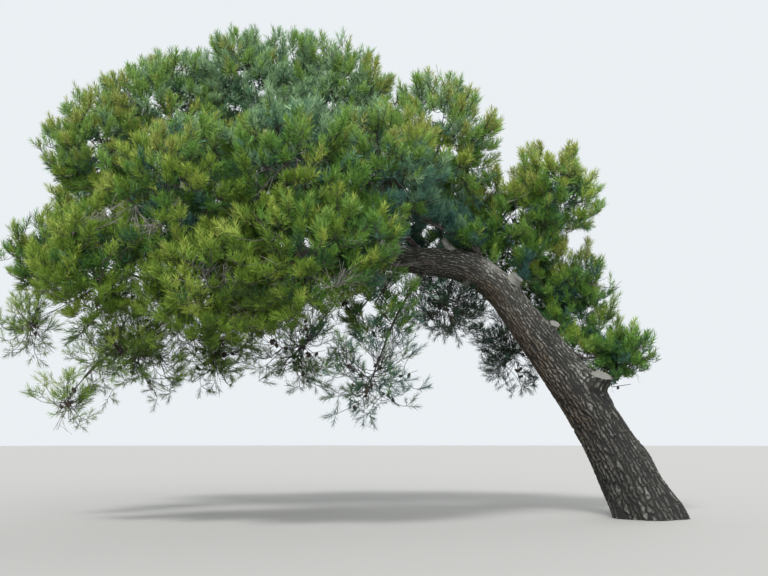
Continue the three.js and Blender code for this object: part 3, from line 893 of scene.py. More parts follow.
def weather_stub(name, stub, piece, root, length):
    """Gives the side its bark and collar, and the face its cracks, wear and slant."""
    corners, radius = read_corners(piece), stub["radius"]
    angle = np.arctan2(corners[:, 1], corners[:, 0])
    away = np.hypot(corners[:, 0], corners[:, 1])
    up = (corners[:, 2] - root) / (length - root)
    side = ease(away / radius, 0.8, 0.97)
    swell = stub["swell"] + (1 - stub["swell"]) * ease(up, 0.3, 0.95)
    v, salt = corners[:, 2] / BOUGH_PLATE, 40 + len(name)
    height, plate, tone = bark_relief(angle, v, radius, STUB_PLATES, BOUGH_PLATE, radius * 0.1, salt)
    oval = 1 + 0.05 * np.cos(2 * angle + 0.6) + 0.025 * np.cos(3 * angle + 1.9)
    corners[:, :2] *= (swell * oval + side * height / radius)[:, None]
    crack = np.exp(-((np.mod(angle * CRACKS / FULL_TURN + 0.1, 1) - 0.5) / 0.06) ** 2)
    sink = 0.06 * crack * (1 - side) * (up > 0.95) * ease(away / radius, 0.1, 0.5)
    wear = 0.03 * soft_noise(corners[:, 0] * 40, corners[:, 1] * 40, 1000, 5) * (up > 0.9)
    corners[:, 2] += radius * (wear - sink)
    cut = turn_to(stub["way"]).T @ unit(np.array(CUT_FACES.get(name, stub["way"])))
    corners[:, 2] -= corners[:, :2] @ cut[:2] / cut[2] * ease(up, 0.5, 1)
    write_corners(piece, corners)
    add_marks(piece, {"plate": plate, "tone": tone, "rust_and_shade": np.full(len(plate), STUB_RUST)})


print("slanted cuts", list(CUT_FACES), "and a peeled end", PEELED_STUB)


# %% Sawing the stubs
def saw_stub(name, stub):
    """One finished stub, from inside the trunk to its cut face."""
    root, length = stub["skin"] * 0.55, stub["skin"] + stub["stand"]
    piece = model_stub(name, stub["radius"], root, length)
    weather_stub(name, stub, piece, root, length)
    piece.data.materials.append(trunk_bark)
    piece.data.materials.append(sawn_wood)
    for face in piece.data.polygons:
        across = math.hypot(face.center.x, face.center.y)
        sawn = face.center.z > length * 0.9 and across < stub["radius"] * 0.9
        peeled = name == PEELED_STUB and face.center.z > length * PEELED_FROM
        face.material_index = int(sawn or peeled)
    set_in_place(piece, stub)
    bpy.ops.object.shade_smooth_by_angle(angle=math.radians(40))
    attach(piece, "root")
    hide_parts(name)


for name, stub in STUBS.items():
    if name != "dead_spur":
        saw_stub(name, stub)
print("stubs", [name for name in STUBS if name != "dead_spur"])

# %% [markdown]
# ## Dead spur
#
# On the real object: a dead limb without bark sticks up from the bend, bleached grey, with its grain open
# and its end broken off in splinters. A curve with a bevel would be too smooth. So it is a tapered cone
# drawn out of the trunk, bent a little, with lengthwise grooves, and its last ring is pulled to uneven
# points.

# %% Dead wood finish
dead_wood, dead_shader = new_material("dead_wood", (0.3, 0.29, 0.27), 0.8)
tree = dead_wood.node_tree
spot = add_node(tree, "ShaderNodeAttribute", attribute_name="pith")
stretch = add_node(tree, "ShaderNodeMapping")
stretch.inputs["Scale"].default_value = (70, 70, 5)
tree.links.new(spot.outputs["Vector"], stretch.inputs["Vector"])
grain = add_noise(tree, stretch.outputs["Vector"], 1.5, 5)
grained = mix_colours(tree, scale_and_shift(tree, grain, 3, -1), (0.13, 0.12, 0.11), (0.42, 0.41, 0.39))
tree.links.new(grained, dead_shader.inputs["Base Color"])
add_bump(tree, dead_shader, grain, 0.7, 0.003)
print("finish", dead_wood.name)

# %% Modelling the spur
stub = STUBS["dead_spur"]
SPUR_LONGER = 0.05
SPUR_CUTS = 24
spur_root = stub["skin"] * 0.5
spur_length = stub["skin"] + stub["stand"] - spur_root + SPUR_LONGER
bpy.ops.object.select_all(action="DESELECT")
bpy.ops.mesh.primitive_cone_add(
    vertices=28, radius1=stub["radius"] * stub["swell"] * 1.15, radius2=stub["radius"] * 0.75,
    depth=spur_length, location=(0, 0, spur_root + spur_length / 2),
)
spur = bpy.context.object
spur.name = "dead_spur_wood"
bpy.ops.object.transform_apply(location=True, rotation=True, scale=True)
bpy.ops.object.mode_set(mode="EDIT")
select_where(spur, "EDGE", lambda middle, way: abs(way.z) > 0.5)
bpy.ops.mesh.subdivide(number_cuts=SPUR_CUTS)
select_where(spur, "FACE", lambda middle, normal: normal.z > 0.9)
bpy.ops.mesh.inset(thickness=stub["radius"] * 0.12, depth=-0.01)
bpy.ops.mesh.inset(thickness=stub["radius"] * 0.12, depth=-0.012)
bpy.ops.object.mode_set(mode="OBJECT")
corners = read_corners(spur)
angle = np.arctan2(corners[:, 1], corners[:, 0])
up = (corners[:, 2] - spur_root) / spur_length
turn = angle / FULL_TURN
groove = 0.11 * soft_noise(turn * 11, up * 4, 11, 7) + 0.05 * soft_noise(turn * 22, up * 9, 22, 8)
corners[:, :2] *= (1 + groove)[:, None]
corners[:, 0] += 0.028 * np.sin(up * 3.4) + 0.012 * np.sin(up * 9)
corners[:, 2] -= 0.07 * ease(up, 0.93, 1) * scatter(np.rint(angle * 4.46), np.zeros(len(angle)), 9)
write_corners(spur, corners)
set_in_place(spur, stub)
bpy.ops.object.shade_smooth_by_angle(angle=math.radians(50))
spur.data.materials.append(dead_wood)
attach(spur, "root")
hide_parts("dead_spur")
print("spur faces", len(spur.data.polygons))

# %% [markdown]
# ## Foliage: where it may grow
#
# On the real object: each bough carries its own round mass of foliage, and neighbouring masses meet with a
# dark seam between them. Needles could be scattered over a surface, but then no twig would carry them. Here
# each mass keeps to its own ball of space, cut flat where it meets the next, and everything in it grows
# from one stem.


# %% A mass's own space
AT_ONCE = 4000


def past_walls(mass, points):
    """How far points lie past the flat walls between a mass and its neighbours. Below 0 is inside."""
    own = ((points - mass["middle"]) ** 2).sum(-1) - mass["reach"] ** 2
    worst = np.full(points.shape[:-1], -9.0)
    for other in MASSES.values():
        apart = np.linalg.norm(mass["middle"] - other["middle"])
        if other is not mass and apart < mass["reach"] + other["reach"]:
            theirs = ((points - other["middle"]) ** 2).sum(-1) - other["reach"] ** 2
            worst = np.maximum(worst, (own - theirs) / (2 * apart))
    return worst


def outside(mass, points):
    """How far points lie outside a mass's own space, in metres. Below 0 is inside."""
    past_ball = np.sqrt(((points - mass["middle"]) ** 2).sum(-1)) - mass["reach"]
    return np.maximum(past_ball, past_walls(mass, points))


def gap_to_limbs(points):
    """The least gap from each point to the skin of any limb."""
    flat = points.reshape(-1, 3)
    least = np.full(len(flat), 9.0)
    for i in range(0, len(flat), AT_ONCE):
        part = flat[i : i + AT_ONCE]
        away = np.linalg.norm(part[:, None] - LIMB_POINTS[None], axis=2) - LIMB_RADII
        least[i : i + AT_ONCE] = away.min(axis=1)
    return least.reshape(points.shape[:-1])


top_mass = MASSES["top"]
print("the top mass's middle lies", -float(outside(top_mass, top_mass["middle"]).round(3)), "m deep")

# %% [markdown]
# ## Foliage: first twigs, by the model's rule
#
# On the real object: twigs leave the end of the bough and spread to all sides of the mass. The rule deals
# their ends out along a spiral round the mass's middle, which spaces them evenly, and skips a twig that
# would leave the mass's space or touch a limb. The numbers and their order are the same as in the model's
# source.

# %% The spray and its limits
SPRAYS_PER_SQUARE_METRE = 17
SPRAY_LENGTH = 0.35
SPRAY_ROOM = 0.075
TWIG_ROOM = 0.025
SPRAY_RINGS = ((0.3, 0.09, 0.0), (0.9, 0.27, 0.5))
FULL_SPRAY_RING = (0.6, 0.4, 0.5)
OUTWARD = 0.62
UPWARD = {True: 0.55, False: 0.1}
STEM_STEPS = 5
REACH_TRIES = (1, 0.88, 0.76, 0.64)
SPRAY_CORE = np.array([[0], [0.25], [0.5], [0.75]])


def turned(vector, axis, angle):
    """A vector turned round an axis by an angle."""
    cos, sin = math.cos(angle), math.sin(angle)
    return vector * cos + np.cross(axis, vector) * sin + axis * (axis @ vector) * (1 - cos)


def spray_corners(end, way, turn, full):
    """The corners of the model's spray of needles, which the rule tests."""
    side = turned(unit(np.cross(np.array([0.31, 0.17, 0.94]), way)), way, turn)
    rings = SPRAY_RINGS + ((FULL_SPRAY_RING,) if full else ())
    corners = [end + way * SPRAY_LENGTH]
    for along, out, offset in rings:
        for j in range(3):
            outward = turned(side, way, (j + offset) * FULL_TURN / 3)
            corners.append(end + (way * along + outward * out) * SPRAY_LENGTH)
    return np.array(corners)


def curve_points(a, b, c, t):
    """Points at t on a smooth curve that leaves a, heads for b and ends at c."""
    t = np.asarray(t)[..., None]
    return (1 - t) ** 2 * a + 2 * t * (1 - t) * b + t * t * c


print("corners on a full spray", len(spray_corners(UP, UP, 0, True)))


# %% First twigs
def first_twigs(mass):
    """The mass's stem, and its first twigs, each as start, bend, end and the way that its spray points."""
    random = seeded(mass["seed"])
    reach, middle = mass["reach"], mass["middle"]
    bough = LIMBS.get(mass["name"], LIMBS["trunk"])
    place = mass["at"] if mass["name"] in NO_BOUGH else 1
    tip, way = bough.at(place)[0], bough.way(place)[0]
    if place < 1:
        way = unit(middle - tip)
    stem = Bend(tip, tip + way * reach * 0.35, middle + way * reach * 0.1)
    count = round(SPRAYS_PER_SQUARE_METRE * reach**2)
    spin = random() * FULL_TURN
    twigs = []
    for k in range(count):
        height = 1 - 2 * (k + 0.5) / count
        ring = math.sqrt(1 - height * height)
        angle = spin + k * GOLDEN_ANGLE + (random() - 0.5) * 0.5
        out = np.array([math.cos(angle) * ring, math.sin(angle) * ring, height])
        leave = stem.at(math.ceil((0.25 + 0.75 * random()) * STEM_STEPS) / STEM_STEPS)[0]
        turn = random() * FULL_TURN
        spray = unit(out * OUTWARD + UP * UPWARD[mass["dense"]])
        for share in REACH_TRIES:
            end = middle + out * reach * share - spray * SPRAY_LENGTH
            bend = (leave + end) / 2 if mass["dense"] else end - spray * reach * 0.3
            corners = spray_corners(end, spray, turn, not mass["dense"])
            core = end + spray * SPRAY_CORE * SPRAY_LENGTH
            path = curve_points(leave, bend, end, np.linspace(0, 1, 9))
            inside = outside(mass, corners).max() < -0.001
            clear = min(gap_to_limbs(corners).min(), gap_to_limbs(path).min()) > TWIG_ROOM
            if inside and clear and gap_to_limbs(core).min() > SPRAY_ROOM:
                twigs.append((leave, bend, end, spray))
                break
    return stem, twigs


for mass in MASSES.values():
    mass["stem"], mass["twigs"] = first_twigs(mass)
print("first twigs", sum(len(mass["twigs"]) for mass in MASSES.values()))

# %% [markdown]
# ## Foliage: finer twigs, by the same rule
#
# On the real object: each first twig forks again and again, and the last shoots stand up in clumps about
# thirty centimetres wide, with dark gaps between the clumps. They could be strewn over a surface, but then
# nothing would carry them. So the same spiral is dealt out again with many more ends. Each end is one
# clump: a side twig leaves the nearest first twig and bends up to it, and shoots fan out from its last
# stretch.
#
# The skin of the crown is smoothed over the notches between masses and made a little lumpy, so that no mass
# looks like a ball. A second layer lies under it, and one clump in ten is a leader that stands out of it.
# The masses that the sky shows round are full right through, and in the others the clumps deep inside are
# thinned out. The open masses are filled all through in loose groups. Two places stay free: a few bare
# spots in front, where dead twigs show, and a line in front of the trunk's upper end, which is in view.

# %% The crown's skin
DENSE_MASSES = [mass for mass in MASSES.values() if mass["dense"]]
OPEN_MASSES = [mass for mass in MASSES.values() if not mass["dense"]]
NOTCH_BLEND = 6.0
WALL_ROOM = 0.06
OUTWARD_STEPS = np.linspace(0.25, 1.3, 40)


def generator(seed):
    """Many repeatable random numbers at once."""
    return np.random.Generator(np.random.PCG64(seed))


def crown_depth(masses, points):
    """How deep points lie in these masses, in metres, with the notches between the masses smoothed over."""
    depths = np.stack([mass["reach"] - np.linalg.norm(points - mass["middle"], axis=-1) for mass in masses])
    most = depths.max(axis=0)
    return most + np.log(np.exp(NOTCH_BLEND * (depths - most)).sum(axis=0)) / NOTCH_BLEND


def depth_for(mass, points):
    """How deep points lie among the dense masses, or for an open mass among the open ones."""
    return crown_depth(DENSE_MASSES if mass["dense"] else OPEN_MASSES, points)


def spiral(count, spin):
    """Directions spread evenly over a ball along a spiral."""
    k = np.arange(count)
    height = 1 - 2 * (k + 0.5) / count
    ring = np.sqrt(1 - height**2)
    angle = spin + k * GOLDEN_ANGLE
    return np.stack([np.cos(angle) * ring, np.sin(angle) * ring, height], axis=1)


def lumps(out, random):
    """A smooth random pattern from -1 to 1 over directions."""
    waves = unit(random.normal(0, 1, (6, 3)))
    pitch = 3.5 + 4 * random.random(6)
    shift = FULL_TURN * random.random(6)
    return np.sin(out @ waves.T * pitch + shift).sum(axis=1) / 3


def reach_out(mass, out, inset):
    """The last point inside the mass's share of the crown along each direction, an inset under the skin."""
    points = mass["middle"] + out[:, None] * (OUTWARD_STEPS * mass["reach"])[:, None]
    inside = (depth_for(mass, points) > inset[:, None]) & (past_walls(mass, points) < WALL_ROOM)
    steps = np.cumprod(inside, axis=1).sum(axis=1)
    return points[np.arange(len(out)), np.maximum(steps - 1, 0)]


print("crown's skin over", len(DENSE_MASSES), "dense masses")

# %% How many clumps, and where they stay away
CLUMPS_PER_SQUARE_METRE = {True: 300, False: 250}
THINNED = {"under_end": 0.5, "far_right": 0.75, "shoulder": 0.72, "right_mid": 0.9}
CLUMPS_PER_CUBIC_METRE = {
    "hang_inner": 250, "hang_right": 180, "hang_front_left": 240, "hang_mid_left": 150, "hang_left": 130,
    "hang_tip": 150, "hang_centre": 130, "hang_mid": 80,
}
FULL_MASSES = (
    "outer_left", "top_left", "top", "top_right", "shoulder", "far_right", "right_mid", "right_low",
    "right_tip",
)
CLUMP_ROOM = 0.045
LONGEST_SIDE_TWIG = {True: 0.85, False: 0.5}
SKIN_DEPTH = 0.3
SKIN_INSET = 0.115
SKIN_LUMPS = {"far_right": 0.13, "shoulder": 0.09, "right_mid": 0.09, "right_low": 0.08}
OTHER_SKIN_LUMPS = 0.06
SECOND_LAYER, SECOND_LAYER_SHARE = 0.17, {True: 0.4, False: 0.25}
LEADER, LEADER_SHARE = 0.15, 0.1
INNER_CHANCE = {True: 1, False: 0.34}
CLEAR_LINE = np.array([(-2.80, -0.25, 3.16), (-2.83, -1.75, 2.96)])
CLEAR_REACH = 0.17
BARE_SPOTS = np.array([
    (-6.05, -1.92, 3.27), (-5.80, -2.03, 3.18), (-5.55, -2.07, 3.08), (-3.58, -2.10, 2.62),
    (-3.40, -1.85, 2.60), (-4.95, -2.15, 2.62), (-4.72, -2.12, 2.60),
])
BARE_REACH = 0.15
print("full masses", len(FULL_MASSES), "bare spots", len(BARE_SPOTS))


# %% Helpers for the clumps
def from_clear_line(points):
    """How far points lie from the line along which the trunk's upper end is seen."""
    start, run = CLEAR_LINE[0], CLEAR_LINE[1] - CLEAR_LINE[0]
    share = np.clip((points - start) @ run / (run @ run), 0, 1)
    return np.linalg.norm(points - start - share[..., None] * run, axis=-1)


def first_twig_lines(mass):
    """Each first twig as nine points, out to the end of its spray."""
    lines = []
    for leave, bend, end, spray in mass["twigs"]:
        line = curve_points(leave, bend, end, np.linspace(0, 1, 6))
        tail = end + spray * np.array([[0.27], [0.54], [0.8]]) * SPRAY_LENGTH
        lines.append(np.concatenate([line, tail]))
    return np.array(lines)


def nearest_start(starts, middle, out, tips):
    """For each clump, a point on a first twig that is near and lies further in than the clump."""
    base = tips - out * 0.24
    inward = np.einsum("tk,tk->t", base - middle, out)
    ahead = np.maximum(0, (out @ (starts - middle).T) - inward[:, None])
    cost = np.linalg.norm(base[:, None] - starts[None], axis=2) + 3 * ahead
    return starts[cost.argmin(axis=1)]


print("the top mass has", len(first_twig_lines(top_mass)), "first twigs")


# %% Growing the clumps of one mass
def skin_tips(mass, random):
    """The clumps' places on a dense mass: under its skin, a few of them a layer deeper."""
    full = mass["name"] in FULL_MASSES
    count = round(CLUMPS_PER_SQUARE_METRE[full] * mass["reach"] ** 2)
    out = unit(spiral(count, random.random() * FULL_TURN) + random.normal(0, 0.1, (count, 3)))
    layer = random.random(count)
    lumpy = SKIN_LUMPS.get(mass["name"], OTHER_SKIN_LUMPS) * lumps(out, random)
    inset = SKIN_INSET + lumpy - LEADER * (layer > 1 - LEADER_SHARE)
    inset = inset + SECOND_LAYER * (layer < SECOND_LAYER_SHARE[full])
    tips = reach_out(mass, out, inset)
    chance = np.where(crown_depth(DENSE_MASSES, tips) < SKIN_DEPTH, 1, INNER_CHANCE[full])
    keep = random.random(count) < chance * THINNED.get(mass["name"], 1)
    keep &= np.linalg.norm(tips[:, None] - BARE_SPOTS, axis=2).min(axis=1) > BARE_REACH
    return out[keep], tips[keep]


def loose_tips(mass, random):
    """The clumps' places in an open mass: all through its space, in loose groups, and fewer low down."""
    count = round(CLUMPS_PER_CUBIC_METRE[mass["name"]] * 4 / 3 * math.pi * mass["reach"] ** 3)
    out = unit(random.normal(0, 1, (count, 3)))
    share = random.random(count) ** 0.42
    tips = mass["middle"] + out * (0.96 * mass["reach"] * share)[:, None]
    ragged = 0.75 + 0.9 * lumps(tips * 2.2, random) + 0.5 * out[:, 2] * share
    inside = (past_walls(mass, tips) < WALL_ROOM) & (depth_for(mass, tips) > 0.02)
    keep = inside & (random.random(count) < ragged)
    return out[keep], tips[keep]


def grow_clumps(mass):
    """Side twigs with their clumps: start, bend and tip of each, the way that it points, how deep it lies,
    and whether its shoots may stand outside the dense crown."""
    random = generator(1000 + mass["seed"])
    dense, middle = mass["dense"], mass["middle"]
    out, tips = skin_tips(mass, random) if dense else loose_tips(mass, random)
    keep = gap_to_limbs(tips) > CLUMP_ROOM
    out, tips = out[keep], tips[keep]
    depth = depth_for(mass, tips)
    start = nearest_start(first_twig_lines(mass)[:, 2:].reshape(-1, 3), middle, out, tips)
    lean = random.normal(0, 0.14 if dense else 0.3, out.shape)
    way = unit(out * OUTWARD + UP * (0.6 if dense else 0.35) + lean)
    span = np.linalg.norm(tips - start, axis=1)
    keep = (span > 0.06) & (span < LONGEST_SIDE_TWIG[dense])
    start, tips, way, span, depth = (a[keep] for a in (start, tips, way, span, depth))
    droop = -UP * (span * (0 if dense else 0.12))[:, None]
    bend = tips - way * (span * 0.45)[:, None] + droop
    free = np.full(len(tips), not dense)
    return {"start": start, "bend": bend, "tip": tips, "way": way, "depth": depth, "free": free}


print("clumps on the top mass", len(grow_clumps(top_mass)["tip"]))

# %% [markdown]
# ### Clumps along the boughs
#
# On the real object: a bough carries small clumps where it comes into the light, so it doesn't show as a
# bare spoke. More first twigs could hide it, but the rule for those is fixed. So short side twigs leave the
# outer part of the bough itself. One bough that the picture's side would show gets twice as many, turned to
# that side.

# %% Clumps along the boughs
BOUGH_CLUMP_GAP = 0.055
HIDDEN_BOUGH = "front_high_right"
FIRST_BOUGH_CLUMP = {
    "far_right": 0.2, "shoulder": 0.12, "front_high_right": 0.05, "right_low": 0.15, "right_tip": 0.0,
    "back_right": 0.2, "front_right": 0.85, "outer_left": 0.25, "front_left": 0.25, "back_left": 0.25,
    "back_mid_left": 0.3, "back_low": 0.3, "front_low": 0.35, "front_high_left": 0.3,
}
OTHER_FIRST_CLUMP = {True: 0.5, False: 0.3}


def bough_clumps(mass):
    """Short side twigs with small clumps on the outer part of a mass's bough, where it shows."""
    bough = LIMBS.get(mass["name"])
    if bough is None:
        return None
    random = generator(1500 + mass["seed"])
    first = FIRST_BOUGH_CLUMP.get(mass["name"], OTHER_FIRST_CLUMP[mass["dense"]])
    hidden = mass["name"] == HIDDEN_BOUGH
    count = round(bough.length * (1 - first) / BOUGH_CLUMP_GAP) * (2 if hidden else 1)
    share = first + (1 - first) * (np.arange(count) + random.random(count)) / count
    start, along = bough.at(share), bough.way(share)
    side = unit(np.cross(along, random.normal(0, 1, (count, 3))))
    way = side * 0.8 + along * 0.45 + UP * (0.5 if mass["dense"] else 0.1)
    way = unit(way + FRONT * (0.7 if hidden else 0))
    span = 0.16 + 0.2 * random.random(count)
    tips = start + way * span[:, None]
    depth = np.maximum(crown_depth(DENSE_MASSES, tips), 0.05)
    keep = (depth < SKIN_DEPTH) & (gap_to_limbs(tips) > CLUMP_ROOM)
    bend = (start + tips) / 2 - UP * (span * 0.12)[:, None]
    grown = {"start": start, "bend": bend, "tip": tips, "way": unit(way + UP * 0.3), "depth": depth,
             "free": np.full(count, True)}
    return {key: values[keep] for key, values in grown.items()}


def all_clumps(mass):
    """The clumps on a mass's first twigs, then those on its bough."""
    groups = [grow_clumps(mass), bough_clumps(mass)]
    groups = [group for group in groups if group is not None]
    clumps = {key: np.concatenate([group[key] for group in groups]) for key in groups[0]}
    keep = from_clear_line(clumps["tip"]) > CLEAR_REACH
    return {key: values[keep] for key, values in clumps.items()}


print("clumps on the top mass and its bough", len(all_clumps(top_mass)["tip"]))

# %% Growing the shoots of one mass
SHOOTS = {True: 12, False: 4}
SHOOT_LENGTH = 0.125
FAN_LENGTH = {True: 0.24, False: 0.10}
LIMB_GAP = 0.04
BOX_LOW, BOX_HIGH = np.array(cad_box)
BOX_ROOM = 0.03 * (BOX_HIGH - BOX_LOW) - 0.085


def grow_shoots(mass, clumps):
    """The shoots of every clump: root, tip, how deep they lie, and their clump's number."""
    random = generator(2000 + mass["seed"])
    dense, number, total = mass["dense"], SHOOTS[mass["dense"]], len(clumps["tip"])
    rank = (np.arange(number) + 0.5) / number
    span = np.linalg.norm(clumps["tip"] - clumps["start"], axis=1)
    share = 1 - np.minimum(FAN_LENGTH[dense] / span, 0.8)[:, None] * (1 - rank)
    root = curve_points(clumps["start"][:, None], clumps["bend"][:, None], clumps["tip"][:, None], share)
    way = clumps["way"]
    side = unit(np.cross(way, np.array([0.3, 0.9, 0.1])))
    other = np.cross(way, side)
    angle = GOLDEN_ANGLE * np.arange(number) + random.random((total, 1)) * FULL_TURN
    tilt = np.radians(66 - 54 * rank) + random.normal(0, 0.14, (total, number))
    tilt = tilt * (0.6 + 0.4 * ease(clumps["depth"], -0.02, 0.08))[:, None]
    radial = side[:, None] * np.cos(angle)[..., None] + other[:, None] * np.sin(angle)[..., None]
    shoot = way[:, None] * np.cos(tilt)[..., None] + radial * np.sin(tilt)[..., None]
    shoot = unit(shoot + UP * (0.5 if dense else 0.25))
    length = SHOOT_LENGTH * (0.75 + 0.6 * random.random((total, number))) * (1.12 - 0.24 * rank)
    tip = root + shoot * length[..., None]
    free = clumps["free"][:, None]
    depth = np.where(free, 0.05, depth_for(mass, tip)) if dense else np.full(tip.shape[:-1], 0.05)
    poke = 0.02 + 0.07 * (random.random((total, number)) < 0.12) + 0.16 * (random.random((total, 1)) < 0.2)
    keep = (depth > -poke) & (gap_to_limbs(root + shoot * 0.1) > LIMB_GAP)
    keep &= from_clear_line(tip) > CLEAR_REACH
    keep &= ((tip > BOX_LOW - BOX_ROOM) & (tip < BOX_HIGH + BOX_ROOM)).all(axis=-1)
    clump = np.broadcast_to(np.arange(total)[:, None], keep.shape)
    return {"root": root[keep], "tip": tip[keep], "depth": depth[keep], "clump": clump[keep]}


for mass in MASSES.values():
    mass["lines"] = first_twig_lines(mass)
    mass["clumps"] = all_clumps(mass)
    mass["shoots"] = grow_shoots(mass, mass["clumps"])
print("clumps", sum(len(m["clumps"]["tip"]) for m in MASSES.values()))
print("shoots", sum(len(m["shoots"]["tip"]) for m in MASSES.values()))

# %% [markdown]
# ## Needles
#
# On the real object: needles of seven or eight centimetres grow in pairs all along a shoot and point
# forwards, so each shoot looks like an upright bottle brush. Strands of hair could stand for them, but only
# real faces can be kept in the model. One needle is modelled from a triangle, drawn out thin and long.
# Pairs of it are set round a shoot along a spiral, in a few versions, and every shoot in the crown takes a
# turned copy of one version. There are far fewer needles than on the real tree, so each is a few times
# wider. Those deep in the crown, which only close the gaps, are fewer and wider still, and those of the
# open masses are finer.

# %% One needle
NEEDLE_LENGTH = 0.078
bpy.ops.object.select_all(action="DESELECT")
bpy.ops.mesh.primitive_circle_add(vertices=3, radius=1, fill_type="NGON", rotation=(math.radians(90), 0, 0))
needle = bpy.context.object
bpy.ops.object.transform_apply(location=False, rotation=True, scale=False)
bpy.ops.object.mode_set(mode="EDIT")
bpy.ops.mesh.select_all(action="SELECT")
bpy.ops.transform.resize(value=(1 / math.sqrt(3), 1, NEEDLE_LENGTH / 1.5), center_override=(0, 0, 0))
bpy.ops.transform.translate(value=(0, 0, NEEDLE_LENGTH / 3))
bpy.ops.object.mode_set(mode="OBJECT")
blade = read_corners(needle)
bpy.data.objects.remove(needle)
print("needle from", blade.min(axis=0).round(3), "to", blade.max(axis=0).round(3), "before its width is set")

# %% Brushes of needles
BRUSH_KINDS = {
    "outer": {"pairs": 12, "width": 0.0076, "stretch": 1.0},
    "inner": {"pairs": 6, "width": 0.0190, "stretch": 1.3},
    "open": {"pairs": 14, "width": 0.0050, "stretch": 1.0},
}
VERSIONS = 8
PAIR_SPREAD = math.radians(8)


def brush(seed, pairs, width, stretch):
    """All blades on one upright shoot, as triangles of corners."""
    random = generator(seed)
    blades = []
    for j in range(pairs):
        rank = (j + 0.5) / pairs
        angle = j * GOLDEN_ANGLE + random.normal(0, 0.2)
        tilt = math.radians(54 - 34 * rank) + random.normal(0, 0.1)
        root = np.array([0, 0, SHOOT_LENGTH * (0.15 + 0.85 * rank**0.8)])
        length = stretch * (1.0 - 0.25 * abs(rank - 0.45)) * (0.9 + 0.2 * random.random())
        for spread in (-PAIR_SPREAD, PAIR_SPREAD):
            level = np.array([math.cos(angle + spread), math.sin(angle + spread), 0])
            way = unit(level * math.sin(tilt) + UP * math.cos(tilt + spread))
            roll = random.random() * FULL_TURN
            side = unit(np.cross(way, np.array([math.cos(roll), math.sin(roll), 0.3])))
            blades.append(root + blade[:, :1] * width * side + blade[:, 2:] * length * way)
    return np.array(blades)


BRUSHES = {
    kind: np.array([brush(50 + v, *numbers.values()) for v in range(VERSIONS)])
    for kind, numbers in BRUSH_KINDS.items()
}
print("blades on a brush", {kind: versions.shape[1] for kind, versions in BRUSHES.items()})

# %% [markdown]
# ## Needles' colours
#
# On the real object: the crown is greyer and bluer at its top, yellower low down and in front, and each
# clump is lit at its top and shaded beneath. A pattern laid over loose needles would fall on them at random.
# So fourteen plain colours are dealt out by spray: four tones each of a cool, a green and a warm kind, one
# for new tips and one for the shade of the hanging foliage. The four tones are painted light and shade:
# the tops of clumps and of the crown get the lit ones, and undersides and the inside get the shaded ones,
# which are also cooler. The new tips' colour goes to the most lit tops, so it is partly a painted highlight.
# Two hollows and a dim spot in the crown get painted shade: they are cooler and darker. The hanging masses
# under the crown are painted darker as shade too.

# %% The tints
# Four tones of each kind, shade, deep, middle and light, are painted light and shade. The new tips' colour is
# partly a painted highlight, and the hanging shade is painted shade.
TINTS = {
    "cool_shade": (0.036, 0.104, 0.084), "cool_deep": (0.076, 0.178, 0.128),
    "cool_middle": (0.130, 0.250, 0.140), "cool_light": (0.235, 0.37, 0.19),
    "green_shade": (0.038, 0.105, 0.042), "green_deep": (0.066, 0.162, 0.036),
    "green_middle": (0.115, 0.245, 0.040), "green_light": (0.20, 0.34, 0.070),
    "warm_shade": (0.060, 0.108, 0.026), "warm_deep": (0.092, 0.168, 0.022),
    "warm_middle": (0.165, 0.27, 0.034), "warm_light": (0.29, 0.375, 0.064),
    "new_tip": (0.30, 0.345, 0.080), "hanging_shade": (0.020, 0.052, 0.026),
}
NEEDLE_FINISHES = []
for name, colour in TINTS.items():
    finish, shader = new_material("needles_" + name, colour, 0.5)
    shader.inputs["Specular IOR Level"].default_value = 0.2
    NEEDLE_FINISHES.append(finish)
TONES = 4
NEW_TIP_AND_HIGHLIGHT, HANGING_SHADE = list(TINTS).index("new_tip"), list(TINTS).index("hanging_shade")
print("tints", len(TINTS))

# %% Dealing out the tints
# Painted shade: two hollows and a dim spot, seen from the picture's side, where the needles are painted
# darker and cooler.
SHADED_HOLLOWS = (((-4.25, 4.70), (1.0, 0.5)), ((-2.6, 3.7), (0.65, 0.45)))
SHADED_SPOTS = (((-5.85, 2.85), (0.5, 0.35)),)
DEEP_GREEN = ("right_low", "right_tip")
# Painted shade for the open masses that hang under the crown, darkest for those right under the trunk.
OPEN_LIGHT = {"hang_inner": -0.75, "hang_right": -0.75, "hang_mid": -0.5, "hang_centre": -0.5}
OTHER_OPEN_LIGHT = -0.22
SHADED = -0.6
KIND_LIMITS = (0.36, 0.66)
TONE_LIMITS = (0.06, 0.34, 0.72)


def in_spots(points, spots):
    """1 at spots seen from the picture's side, fading to 0 over the reach of each."""
    flat = points[:, [0, 2]]
    return sum(np.exp(-(((flat - at) / np.array(reach)) ** 2).sum(axis=1)) for at, reach in spots)


